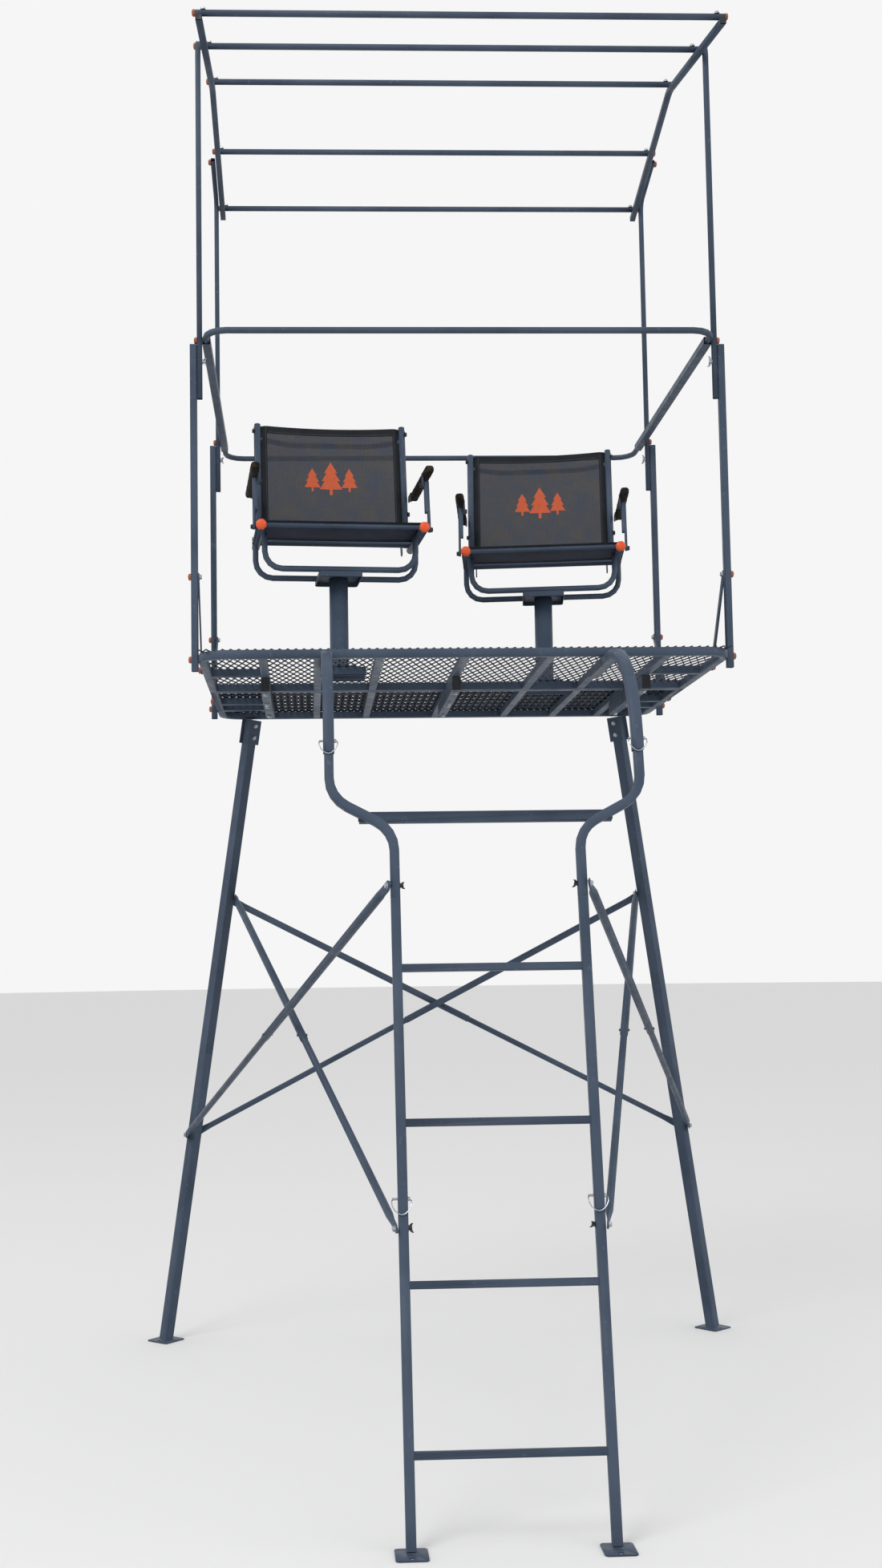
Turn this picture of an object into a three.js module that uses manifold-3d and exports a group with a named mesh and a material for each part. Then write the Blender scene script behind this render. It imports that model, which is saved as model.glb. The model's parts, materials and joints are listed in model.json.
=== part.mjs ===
// A two-seat quadpod hunting tower in steel tube: a leaning ladder, two rear legs with crossed braces,
// a platform of welded tube with a mesh deck, four posts with a shooting rail and a roof frame,
// and two sling chairs that swivel and fold.
// Millimetres, +Z up, +Y away from the ladder. The origin is on the ground, under the middle of the tower.
import * as THREE from "three";
import { mergeVertices } from "three/addons/utils/BufferGeometryUtils.js";
import Module from "manifold-3d";

const wasm = await Module();
wasm.setup();

// ---------------------------------------------------------------- driving dimensions

const GAP = 0.3; // left between pieces that touch
const WALL = 1.5; // of every steel tube
const CORNER = 2.2; // outside corner radius of a square tube
const SIDES = [
  ["left", -1],
  ["right", 1],
];
const ENDS = ["front", "rear"];

const PLATFORM = {
  width: 1600,
  depth: 1330,
  tube: 25,
  top: 2330,
  split: 665,
  cornerRadius: 70,
  joistsX: [0, 257, 441, 608],
  tiesY: [350, 950, 1100],
};
const DECK = { thickness: 1.2, inset: 3 };
const BEAM = { width: 28, height: 44, frontY: 366, rearY: 964, spacing: 608 };

const LADDER = {
  footY: -779,
  lean: 0.1808, // rearward run for each unit of height
  halfWidth: 248.5,
  rail: 25,
  rung: 20,
  rungHeights: [215, 607.5, 1000, 1392],
  joints: [781, 1575, 1971],
  spigot: 100,
};
const FOOT = { width: 80, depth: 84, thickness: 4, holeRadius: 7, heel: 20 };
const FLARE = { startZ: 1757, endZ: 1848, halfWidth: 419, bendRadius: 90 };
const CROSSBAR = { z: 1797, length: 680, height: 30, depth: 20 };
const UPPER_LEG = { tube: 30, endY: 240, bendRadius: 340, insertion: 50 };

const REAR_LEG = {
  tube: 38,
  foot: new THREE.Vector3(1028, 1507, 0),
  top: new THREE.Vector3(681, 1298, 2305),
  jointZ: 1068,
  spigot: 160,
  plate: 100,
  plateTurn: THREE.MathUtils.degToRad(40),
};
const LEG_BRACKET = { height: 90, width: 56, thickness: 4 };

const BRACE = {
  outer: 25,
  inner: 21,
  wall: 1.5,
  flat: 5,
  flatLength: 34,
  taper: 45,
  overlap: 120,
  crossing: 27, // between the centre planes of two braces that cross
  boltRadius: 4,
  highZ: 1640,
  lowZ: 765,
  ladderHighZ: 1609,
  ladderLowZ: 744,
};

const POST = {
  lower: 21,
  upper: 16,
  bottomZ: 2282,
  lowerTopZ: 3288,
  upperBottomZ: 3120,
  Y: { front: 96, rear: 1135 },
  bendRadius: 45,
};
const STRAP = { width: 25, thickness: 4, topZ: 2570, bottomZ: 2317, run: 191 };
const RAIL = {
  bar: 20,
  side: 25,
  z: 3300,
  halfWidth: 771,
  frontY: 3,
  rearY: 1329,
  bendRadius: 65,
  sideFrontY: 90,
  sideRearY: 1200,
  insertion: 60,
};
const ROOF = {
  tube: 19,
  halfWidth: 770,
  barHalfLength: 782.5,
  // distance back and height of the cross bars at the front, at the peak and at the rear
  frontBar: [-191, 4179],
  peakBar: [508, 4343],
  rearBar: [1160, 4201],
  barsY: [-191, 122, 508, 850, 1160],
  overhang: 22,
  barGap: 1.2,
  postEndY: { front: 160, rear: 905 },
  postRise: 8, // of a post's bent end over the cross bars
};

const SEAT = {
  places: { left: [-371, 390, 5], right: [331, 705, -7] }, // x, y and turn in degrees
  postDiameter: 60,
  flangeDiameter: 140,
  plate: [130, 152],
  plateThickness: 6,
  plateTop: 302.5,
  bar: 19,
  barZ: 311,
  railZ: 428,
  railX: 256,
  rail: 26,
  railFrontY: -160,
  railRearY: 148,
  bends: { front: { x: 240, y: -70 }, rear: { x: 261, y: 70 } },
  bendRadius: 55,
  frontTie: { diameter: 16, y: -148, z: 431 },
  rearTie: { diameter: 20, y: 105, z: 436 },
  slingHalfWidth: 267,
  slingFrontY: -158,
  slingRearY: 90,
};
const BACK = {
  pivotY: 165,
  pivotZ: 462,
  lean: THREE.MathUtils.degToRad(8),
  tube: 21,
  tubeX: 243,
  below: 20,
  length: 408,
  bowAt: 355,
  bowDepth: 42,
  slingHalfWidth: 230.5,
  slingBottom: 26,
  slingTop: 402,
};
const ARM = {
  linkLength: 150,
  x: 273,
  width: 32,
  height: 28,
  rearGap: 16,
  length: 352,
  lug: 5,
  strut: { width: 16, depth: 12, innerX: 264, footX: 272.5, footLength: 60, beyond: 8 },
  strutFootY: -130,
};

// ---------------------------------------------------------------- solids

const v = (x, y, z) => new THREE.Vector3(x, y, z);

function toSolid(geometry) {
  const bare = geometry.index ? geometry.toNonIndexed() : geometry.clone();
  for (const name of Object.keys(bare.attributes)) {
    if (name !== "position") bare.deleteAttribute(name);
  }
  const merged = mergeVertices(bare, 1e-4);
  const build = (triVerts) =>
    new wasm.Manifold(
      new wasm.Mesh({ numProp: 3, vertProperties: merged.attributes.position.array, triVerts }),
    );
  const made = build(new Uint32Array(merged.index.array));
  return made.volume() < 0 ? build(new Uint32Array(merged.index.array).reverse()) : made;
}

function toGeometry(solid) {
  const mesh = solid.simplify(0.005).getMesh();
  const positions = new Float32Array(mesh.numVert * 3);
  for (let i = 0; i < mesh.numVert; i++) {
    for (let k = 0; k < 3; k++) positions[3 * i + k] = mesh.vertProperties[i * mesh.numProp + k];
  }
  const geometry = new THREE.BufferGeometry();
  geometry.setAttribute("position", new THREE.BufferAttribute(positions, 3));
  geometry.setIndex(new THREE.BufferAttribute(mesh.triVerts, 1));
  geometry.computeVertexNormals();
  return geometry;
}

const join = (solids) => solids.reduce((whole, next) => whole.add(next));

// Tubes welded into one piece, with their bores open into each other, and solid extras welded on.
function weld(tubes, extras = []) {
  const outside = join(tubes.map((tube) => tube.outside));
  return join([outside.subtract(join(tubes.map((tube) => tube.bore))), ...extras]);
}

function rectangle(width, height, radius = 0, turn = 0) {
  const points = [];
  const corners = [
    [1, 1],
    [-1, 1],
    [-1, -1],
    [1, -1],
  ];
  corners.forEach(([sx, sy], quarter) => {
    const steps = radius > 0 ? 1 : 0;
    for (let i = 0; i <= steps; i++) {
      const angle = (quarter + (steps ? i / steps : 0)) * (Math.PI / 2);
      const x = sx * (width / 2 - radius) + (steps ? radius * Math.cos(angle) : 0);
      const y = sy * (height / 2 - radius) + (steps ? radius * Math.sin(angle) : 0);
      points.push(new THREE.Vector2(x, y).rotateAround(new THREE.Vector2(), turn));
    }
  });
  return new THREE.Shape(points);
}

function disc(diameter, sides) {
  const points = [];
  for (let i = 0; i < sides; i++) {
    const angle = (i * 2 * Math.PI) / sides;
    points.push(new THREE.Vector2(Math.cos(angle), Math.sin(angle)).multiplyScalar(diameter / 2));
  }
  return new THREE.Shape(points);
}

// A centre line of straight runs with round bends, whose stations lie only where the tube bends.
class TubePath extends THREE.Curve {
  constructor(corners, bendRadius = 0, bendSteps = 4) {
    super();
    this.points = [];
    this.tangents = [];
    const heading = (i) => corners[i + 1].clone().sub(corners[i]).normalize();
    const last = corners.length - 1;
    this.addStation(corners[0], heading(0));
    for (let i = 1; i < last; i++) {
      this.addBend(corners[i], heading(i - 1), heading(i), bendRadius, bendSteps);
    }
    this.addStation(corners[last], heading(last - 1));
  }

  addStation(point, tangent) {
    this.points.push(point.clone());
    this.tangents.push(tangent.clone());
  }

  addBend(corner, arriving, leaving, radius, steps) {
    const angle = arriving.angleTo(leaving);
    const axis = arriving.clone().cross(leaving).normalize();
    const inward = axis.clone().cross(arriving);
    const start = corner.clone().addScaledVector(arriving, -radius * Math.tan(angle / 2));
    const centre = start.addScaledVector(inward, radius);
    for (let i = 0; i <= steps; i++) {
      const turned = (angle * i) / steps;
      const spoke = inward.clone().applyAxisAngle(axis, turned);
      const tangent = arriving.clone().applyAxisAngle(axis, turned);
      this.addStation(centre.clone().addScaledVector(spoke, -radius), tangent);
    }
  }

  get steps() {
    return this.points.length - 1;
  }

  getPoint(t) {
    return this.points[Math.round(t * this.steps)].clone();
  }

  getPointAt(u) {
    return this.getPoint(u);
  }

  getTangentAt(u) {
    return this.tangents[Math.round(u * this.steps)].clone();
  }
}

function sweep(path, shape) {
  return toSolid(new THREE.ExtrudeGeometry(shape, { steps: path.steps, extrudePath: path }));
}

// The same corners with both ends carried on, so that a bore cuts clean through the ends of its tube.
function runOn(corners, length = 2) {
  const carry = (end, neighbour) =>
    end.clone().addScaledVector(end.clone().sub(neighbour).normalize(), length);
  const inner = corners.slice(1, -1);
  return [carry(corners[0], corners[1]), ...inner, carry(corners.at(-1), corners.at(-2))];
}

function squareTube(corners, size, options = {}) {
  const { bend = 0, turn = 0, height = size, bendSteps = 4 } = options;
  const hollow = rectangle(size - 2 * WALL, height - 2 * WALL, 0, turn);
  return {
    outside: sweep(new TubePath(corners, bend, bendSteps), rectangle(size, height, CORNER, turn)),
    bore: sweep(new TubePath(runOn(corners), bend, bendSteps), hollow),
  };
}

function roundTube(corners, diameter, options = {}) {
  const { bend = 0, bendSteps = 4, sides = 10 } = options;
  return {
    outside: sweep(new TubePath(corners, bend, bendSteps), disc(diameter, sides)),
    bore: sweep(new TubePath(runOn(corners), bend, bendSteps), disc(diameter - 2 * WALL, sides / 2)),
  };
}

// A square tube whose far end is drawn down so that it slides into the next tube.
function swagedTube(start, shoulder, tip, size, turn = 0) {
  const along = tip.clone().sub(start).normalize();
  const step = shoulder.clone().addScaledVector(along, -2 * WALL);
  const narrow = size - 2 * WALL - 2 * GAP;
  const wide = rectangle(size - 2 * WALL, size - 2 * WALL, 0, turn);
  const slim = rectangle(narrow - 2 * WALL, narrow - 2 * WALL, 0, turn);
  const body = {
    outside: sweep(new TubePath([start, shoulder]), rectangle(size, size, CORNER, turn)),
    bore: sweep(new TubePath([runOn([start, step])[0], step]), wide),
  };
  const end = {
    outside: sweep(new TubePath([step, tip]), rectangle(narrow, narrow, CORNER / 2, turn)),
    bore: sweep(new TubePath(runOn([step, tip])), slim),
  };
  return [body, end];
}

// An upright slab with round corners, standing on z = bottom.
function slab(shape, bottom, thickness) {
  const geometry = new THREE.ExtrudeGeometry(shape, { depth: thickness, bevelEnabled: false });
  return toSolid(geometry.translate(0, 0, bottom));
}

// A flat bar with round ends between two points, its faces square to the given direction.
function flatBar(from, to, width, thickness, faceNormal) {
  const along = to.clone().sub(from);
  const length = along.length();
  along.normalize();
  const across = faceNormal.clone().cross(along).normalize();
  const normal = along.clone().cross(across);
  const outline = new THREE.Shape();
  outline.absarc(0, 0, width / 2, Math.PI / 2, 1.5 * Math.PI, false);
  outline.absarc(length, 0, width / 2, -Math.PI / 2, Math.PI / 2, false);
  const settings = { depth: thickness, bevelEnabled: false, curveSegments: 4 };
  const geometry = new THREE.ExtrudeGeometry(outline, settings).translate(0, 0, -thickness / 2);
  const basis = new THREE.Matrix4().makeBasis(along, across, normal).setPosition(from);
  return toSolid(geometry.applyMatrix4(basis));
}

// ---------------------------------------------------------------- materials and the tree of pieces

const finish = (color, roughness, metalness) =>
  new THREE.MeshStandardMaterial({ color, roughness, metalness });
const POWDER_COAT = finish("#4a5260", 0.5, 0.35);
const DECK_COAT = finish("#3c424c", 0.6, 0.4);
const SLING = finish("#2b2c34", 0.9, 0);
const PADDING = finish("#2a2622", 0.95, 0);

const tower = new THREE.Group();

function addPiece(name, solid, material = POWDER_COAT, parent = tower) {
  const mesh = new THREE.Mesh(toGeometry(solid), material);
  mesh.name = name;
  parent.add(mesh);
}

// ---------------------------------------------------------------- ladder

const LADDER_ANGLE = Math.atan(LADDER.lean);
const onLadder = (x, z) => v(x, LADDER.footY + LADDER.lean * z, z);

function footPlate(side) {
  const outline = rectangle(FOOT.width, FOOT.depth, 6);
  const plate = slab(outline, 0, FOOT.thickness);
  const hole = new THREE.CylinderGeometry(FOOT.holeRadius, FOOT.holeRadius, 20, 14);
  hole.rotateX(Math.PI / 2).translate(0, FOOT.holeRadius * 2 - FOOT.depth / 2, 0);
  const y = LADDER.footY + FOOT.heel - FOOT.depth / 2;
  return plate.subtract(toSolid(hole)).translate([side * LADDER.halfWidth, y, 0]);
}

function ladderSection(bottomZ, jointZ, extras) {
  const tubes = [];
  for (const [, side] of SIDES) {
    const x = side * LADDER.halfWidth;
    const shoulder = onLadder(x, jointZ - GAP);
    tubes.push(
      ...swagedTube(onLadder(x, bottomZ), shoulder, onLadder(x, jointZ + LADDER.spigot), LADDER.rail),
    );
  }
  const rungs = LADDER.rungHeights.filter((z) => z > bottomZ && z < jointZ);
  for (const z of rungs) {
    const ends = [onLadder(-LADDER.halfWidth, z), onLadder(LADDER.halfWidth, z)];
    tubes.push(squareTube(ends, LADDER.rung, { turn: -LADDER_ANGLE }));
  }
  return weld(tubes, extras);
}

function flareSection() {
  const [, bottomZ, topZ] = LADDER.joints;
  const tubes = SIDES.map(([, side]) => {
    const corners = [
      onLadder(side * LADDER.halfWidth, bottomZ),
      onLadder(side * LADDER.halfWidth, FLARE.startZ),
      onLadder(side * FLARE.halfWidth, FLARE.endZ),
      onLadder(side * FLARE.halfWidth, topZ + UPPER_LEG.insertion),
    ];
    return squareTube(corners, LADDER.rail, { bend: FLARE.bendRadius });
  });
  const setBack = (LADDER.rail + CROSSBAR.depth) / 2 - 1;
  const shift = v(0, Math.cos(LADDER_ANGLE), -Math.sin(LADDER_ANGLE)).multiplyScalar(setBack);
  const bar = [-1, 1].map((side) => onLadder((side * CROSSBAR.length) / 2, CROSSBAR.z).add(shift));
  const turn = -LADDER_ANGLE;
  tubes.push(squareTube(bar, CROSSBAR.height, { height: CROSSBAR.depth, turn }));
  return weld(tubes);
}

function upperLeg(side) {
  const underside = PLATFORM.top - PLATFORM.tube;
  const z = underside - UPPER_LEG.tube / 2 - GAP;
  const x = side * FLARE.halfWidth;
  const corners = [onLadder(x, LADDER.joints[2]), onLadder(x, z), v(x, UPPER_LEG.endY, z)];
  return weld([squareTube(corners, UPPER_LEG.tube, { bend: UPPER_LEG.bendRadius, bendSteps: 8 })]);
}

addPiece(
  "ladder_lower_section",
  ladderSection(FOOT.thickness, LADDER.joints[0], [footPlate(-1), footPlate(1)]),
);
addPiece("ladder_middle_section", ladderSection(LADDER.joints[0], LADDER.joints[1], []));
addPiece("ladder_flare_section", flareSection());
for (const [name, side] of SIDES) addPiece(`ladder_upper_leg_${name}`, upperLeg(side));

// ---------------------------------------------------------------- rear legs

function onRearLeg(side, z) {
  const point = REAR_LEG.foot.clone().lerp(REAR_LEG.top, z / REAR_LEG.top.z);
  return point.multiply(v(side, 1, 1));
}

function lowerRearLeg(side) {
  const turn = Math.PI / 4;
  const tubes = swagedTube(
    onRearLeg(side, FOOT.thickness + 1),
    onRearLeg(side, REAR_LEG.jointZ - GAP),
    onRearLeg(side, REAR_LEG.jointZ + REAR_LEG.spigot),
    REAR_LEG.tube,
    turn,
  );
  const outline = rectangle(REAR_LEG.plate, REAR_LEG.plate, 6, side * REAR_LEG.plateTurn);
  const plate = slab(outline, 0, FOOT.thickness);
  const corner = v(0.36 * REAR_LEG.plate, 0, 0);
  corner.applyAxisAngle(v(0, 0, 1), side * REAR_LEG.plateTurn - Math.PI / 2);
  const hole = new THREE.CylinderGeometry(FOOT.holeRadius, FOOT.holeRadius, 20, 14);
  hole.rotateX(Math.PI / 2).translate(corner.x, corner.y, 0);
  const foot = plate.subtract(toSolid(hole)).translate(onRearLeg(side, 0).toArray());
  return weld(tubes, [foot]);
}

// The two cheeks of the bracket that takes the leg's top bolts.
function legCheeks(side) {
  const { height, width, thickness } = LEG_BRACKET;
  const top = onRearLeg(side, PLATFORM.top - PLATFORM.tube);
  const along = onRearLeg(side, 0).sub(top).normalize();
  const across = along.clone().cross(v(1, side, 0)).normalize();
  const normal = across.clone().cross(along);
  const clear = 6;
  return [-1, 1].map((way) => {
    const cheek = new THREE.BoxGeometry(width, thickness, height);
    const offset = normal.clone().multiplyScalar(way * ((REAR_LEG.tube + thickness) / 2 - 0.5));
    const centre = top.clone().add(offset).addScaledVector(along, height / 2 + clear);
    const basis = new THREE.Matrix4().makeBasis(across, normal, along).setPosition(centre);
    return toSolid(cheek.applyMatrix4(basis));
  });
}

function upperRearLeg(side) {
  const topZ = PLATFORM.top - PLATFORM.tube - 6;
  const ends = [onRearLeg(side, REAR_LEG.jointZ), onRearLeg(side, topZ)];
  return weld([squareTube(ends, REAR_LEG.tube, { turn: Math.PI / 4 })], legCheeks(side));
}

for (const [name, side] of SIDES) {
  addPiece(`rear_leg_lower_${name}`, lowerRearLeg(side));
  addPiece(`rear_leg_upper_${name}`, upperRearLeg(side));
}

// ---------------------------------------------------------------- braces

// One half of a brace, from the tip of its flattened end at z = 0 up to z = length.
function braceHalf(diameter, length) {
  const radius = diameter / 2;
  const { flat, flatLength, taper, wall } = BRACE;
  const boreStart = flatLength + taper + 8;
  const heights = [0, 5, 15, flatLength, flatLength + taper / 2, flatLength + taper, length];
  const profile = heights.map((z) => new THREE.Vector2(radius, z));
  profile.unshift(new THREE.Vector2(0, 0));
  profile.push(new THREE.Vector2(0, length));
  const outer = new THREE.LatheGeometry(profile, 10).rotateX(Math.PI / 2);
  const position = outer.attributes.position;
  for (let i = 0; i < position.count; i++) {
    const along = position.getZ(i);
    const open = THREE.MathUtils.smoothstep(along, flatLength, flatLength + taper);
    const tip = Math.sqrt(Math.min(1, (along + 1) / 16));
    const widen = THREE.MathUtils.lerp(1.3 * tip, 1, open);
    const flatten = THREE.MathUtils.lerp(flat / diameter, 1, open);
    position.setX(i, position.getX(i) * widen);
    position.setY(i, position.getY(i) * flatten);
  }
  const boreProfile = [
    new THREE.Vector2(0, boreStart),
    new THREE.Vector2(radius - wall, boreStart),
    new THREE.Vector2(radius - wall, length + 1),
    new THREE.Vector2(0, length + 1),
  ];
  const bore = new THREE.LatheGeometry(boreProfile, 6).rotateX(Math.PI / 2);
  return toSolid(outer).subtract(toSolid(bore));
}

// The lathe turns about +Y and the half is tipped so that it runs along +Z from its flattened end.
function placeAlong(solid, from, to, faceNormal) {
  const along = to.clone().sub(from).normalize();
  const across = faceNormal.clone().cross(along).normalize();
  const normal = along.clone().cross(across);
  const basis = new THREE.Matrix4().makeBasis(across, normal, along).setPosition(from);
  return solid.transform(basis.elements);
}

// Two telescoped halves held by one bolt where they overlap.
function brace(top, bottom, faceNormal) {
  const tipMargin = 16;
  const along = bottom.clone().sub(top).normalize();
  const start = top.clone().addScaledVector(along, -tipMargin);
  const end = bottom.clone().addScaledVector(along, tipMargin);
  const length = start.distanceTo(end);
  const outerLength = length * 0.5 + BRACE.overlap / 2;
  const outerHalf = placeAlong(braceHalf(BRACE.outer, outerLength), start, end, faceNormal);
  const innerHalf = placeAlong(braceHalf(BRACE.inner, outerLength), end, start, faceNormal);
  const boltAt = start.clone().addScaledVector(along, outerLength - 30);
  const boltLength = BRACE.outer + 8;
  const bolt = new THREE.CylinderGeometry(BRACE.boltRadius, BRACE.boltRadius, boltLength, 6);
  bolt.applyQuaternion(new THREE.Quaternion().setFromUnitVectors(v(0, 1, 0), faceNormal));
  bolt.translate(boltAt.x, boltAt.y, boltAt.z);
  return join([outerHalf, innerHalf, toSolid(bolt)]);
}

// Both rear braces lie behind the legs, one in front of the other where they cross.
function rearBrace(highSide) {
  const faceNormal = v(0, 1, 0);
  const spacer = highSide < 0 ? BRACE.crossing : 0;
  const standOff = v(0, REAR_LEG.tube * Math.SQRT1_2 + 4 + spacer, 0);
  const top = onRearLeg(highSide, BRACE.highZ).add(standOff);
  const bottom = onRearLeg(-highSide, BRACE.lowZ).add(standOff);
  return brace(top, bottom, faceNormal);
}

// The outward horizontal square to the upright plane that holds a side's braces.
function sideNormal(side) {
  const leg = onRearLeg(side, BRACE.highZ);
  const rail = onLadder(side * LADDER.halfWidth, BRACE.ladderLowZ);
  const run = leg.sub(rail).setZ(0).normalize();
  return v(run.y, -run.x, 0).multiplyScalar(side);
}

function sideBrace(side, highAtLeg) {
  const normal = sideNormal(side);
  const legOffset = REAR_LEG.tube * Math.SQRT1_2 + 4;
  const railOffset = LADDER.rail * 0.5 * (Math.abs(normal.x) + Math.abs(normal.y)) + 4;
  const x = side * LADDER.halfWidth;
  const legZ = highAtLeg ? BRACE.highZ : BRACE.lowZ;
  const railZ = highAtLeg ? BRACE.ladderLowZ : BRACE.ladderHighZ;
  const legEnd = onRearLeg(side, legZ).addScaledVector(normal, highAtLeg ? -legOffset : legOffset);
  const railEnd = onLadder(x, railZ).addScaledVector(normal, railOffset);
  return highAtLeg ? brace(legEnd, railEnd, normal) : brace(railEnd, legEnd, normal);
}

for (const [name, side] of SIDES) {
  addPiece(`rear_brace_high_${name}`, rearBrace(side));
  addPiece(`side_brace_leg_high_${name}`, sideBrace(side, true));
  addPiece(`side_brace_ladder_high_${name}`, sideBrace(side, false));
}

// ---------------------------------------------------------------- platform

const FRAME_Z = PLATFORM.top - PLATFORM.tube / 2;
const SIDE_X = PLATFORM.width / 2 - PLATFORM.tube / 2;

function platformHalf(outerY, splitY) {
  const { tube, joistsX, tiesY, cornerRadius } = PLATFORM;
  const inner = splitY + Math.sign(outerY - splitY) * (tube / 2 + 0.5);
  const corners = [
    v(-SIDE_X, splitY, FRAME_Z),
    v(-SIDE_X, outerY, FRAME_Z),
    v(SIDE_X, outerY, FRAME_Z),
    v(SIDE_X, splitY, FRAME_Z),
  ];
  const tubes = [
    squareTube(corners, tube, { bend: cornerRadius }),
    squareTube([v(-SIDE_X, inner, FRAME_Z), v(SIDE_X, inner, FRAME_Z)], tube),
  ];
  const joists = [...new Set(joistsX.flatMap((x) => [x, -x]))];
  for (const x of joists) {
    tubes.push(squareTube([v(x, outerY, FRAME_Z), v(x, inner, FRAME_Z)], tube));
  }
  const outermost = Math.max(...joistsX);
  const between = (y) => (y - outerY) * (y - splitY) < 0;
  for (const y of tiesY.filter(between)) {
    for (const [, side] of SIDES) {
      const ends = [v(side * outermost, y, FRAME_Z), v(side * SIDE_X, y, FRAME_Z)];
      tubes.push(squareTube(ends, tube));
    }
  }
  return weld(tubes);
}

function deck(frontY, rearY) {
  const { inset, thickness } = DECK;
  const width = PLATFORM.width - 2 * inset;
  const depth = rearY - frontY;
  const plate = slab(rectangle(width, depth), PLATFORM.top + GAP, thickness);
  return plate.translate([0, (frontY + rearY) / 2, 0]);
}

const halfTube = PLATFORM.tube / 2;
addPiece("platform_front_frame", platformHalf(halfTube, PLATFORM.split - GAP / 2));
addPiece("platform_rear_frame", platformHalf(PLATFORM.depth - halfTube, PLATFORM.split + GAP / 2));
addPiece("deck_front", deck(DECK.inset, PLATFORM.split - 1), DECK_COAT);
addPiece("deck_rear", deck(PLATFORM.split + 1, PLATFORM.depth - DECK.inset), DECK_COAT);

const BEAM_PLACES = { left: -1, middle: 0, right: 1 };
for (const [name, side] of Object.entries(BEAM_PLACES)) {
  const z = PLATFORM.top - PLATFORM.tube - BEAM.height / 2 - GAP;
  const x = side * BEAM.spacing;
  const ends = [v(x, BEAM.frontY, z), v(x, BEAM.rearY, z)];
  addPiece(`splice_beam_${name}`, weld([squareTube(ends, BEAM.height, { height: BEAM.width })]));
}

// ---------------------------------------------------------------- posts and their straps

const LOWER_POST_X = PLATFORM.width / 2 + POST.lower / 2 + 0.5;
const UPPER_POST_X = LOWER_POST_X - (POST.lower + POST.upper) / 2 - 0.5;

// Height of the roof's cross bars at a distance back from the platform's front edge.
function roofBarZ(y) {
  const [peakY, peakZ] = ROOF.peakBar;
  const [endY, endZ] = y < peakY ? ROOF.frontBar : ROOF.rearBar;
  return peakZ + ((endZ - peakZ) * (y - peakY)) / (endY - peakY);
}

// The side rails run under the cross bars.
const roofRailZ = (y) => roofBarZ(y) - ROOF.tube - ROOF.barGap;

function lowerPost(side, end) {
  const y = POST.Y[end];
  const inward = end === "front" ? 1 : -1;
  const x = side * LOWER_POST_X;
  const post = squareTube([v(x, y, POST.bottomZ), v(x, y, POST.lowerTopZ)], POST.lower);
  const strap = flatBar(
    v(side * (PLATFORM.width / 2 - 1), y, STRAP.topZ),
    v(side * (PLATFORM.width / 2 + STRAP.thickness / 2 + 0.6), y + inward * STRAP.run, STRAP.bottomZ),
    STRAP.width,
    STRAP.thickness,
    v(1, 0, 0),
  );
  return weld([post]).add(strap);
}

function upperPost(side, end) {
  const x = side * UPPER_POST_X;
  const y = POST.Y[end];
  const endY = ROOF.postEndY[end];
  const topZ = (at) => roofBarZ(at) + ROOF.postRise;
  const corners = [v(x, y, POST.upperBottomZ), v(x, y, topZ(y)), v(x, endY, topZ(endY))];
  return weld([squareTube(corners, POST.upper, { bend: POST.bendRadius })]);
}

for (const end of ENDS) {
  for (const [name, side] of SIDES) {
    addPiece(`post_lower_${end}_${name}`, lowerPost(side, end));
    addPiece(`post_upper_${end}_${name}`, upperPost(side, end));
  }
}

// ---------------------------------------------------------------- shooting rail

function railEnd(barY, tubeY) {
  const inside = tubeY + Math.sign(tubeY - barY) * RAIL.insertion;
  const corners = [
    v(-RAIL.halfWidth, inside, RAIL.z),
    v(-RAIL.halfWidth, barY, RAIL.z),
    v(RAIL.halfWidth, barY, RAIL.z),
    v(RAIL.halfWidth, inside, RAIL.z),
  ];
  return weld([roundTube(corners, RAIL.bar, { bend: RAIL.bendRadius })]);
}

addPiece("rail_front", railEnd(RAIL.frontY, RAIL.sideFrontY));
addPiece("rail_rear", railEnd(RAIL.rearY, RAIL.sideRearY));
for (const [name, side] of SIDES) {
  const x = side * RAIL.halfWidth;
  const ends = [v(x, RAIL.sideFrontY, RAIL.z), v(x, RAIL.sideRearY, RAIL.z)];
  addPiece(`rail_side_${name}`, weld([squareTube(ends, RAIL.side)]));
}

// ---------------------------------------------------------------- roof frame

function roofRail(side) {
  const x = side * ROOF.halfWidth;
  const stationsY = [ROOF.frontBar[0] - ROOF.overhang, ROOF.peakBar[0], ROOF.rearBar[0] + ROOF.overhang];
  const corners = stationsY.map((y) => v(x, y, roofRailZ(y)));
  return weld([squareTube(corners, ROOF.tube, { bend: 120, bendSteps: 2 })]);
}

for (const [name, side] of SIDES) addPiece(`roof_rail_${name}`, roofRail(side));
ROOF.barsY.forEach((y, i) => {
  const ends = [-1, 1].map((side) => v(side * ROOF.barHalfLength, y, roofBarZ(y)));
  addPiece(`roof_bar_${i + 1}`, weld([roundTube(ends, ROOF.tube)]));
});

// ---------------------------------------------------------------- chairs

const DECK_TOP = PLATFORM.top + GAP + DECK.thickness;
// A point on the chair back's centre plane, by its distance up from the pivot and back from the plane.
const onBack = (x, up, behind = 0) =>
  v(
    x,
    BACK.pivotY + up * Math.sin(BACK.lean) + behind * Math.cos(BACK.lean),
    BACK.pivotZ + up * Math.cos(BACK.lean) - behind * Math.sin(BACK.lean),
  );

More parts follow.
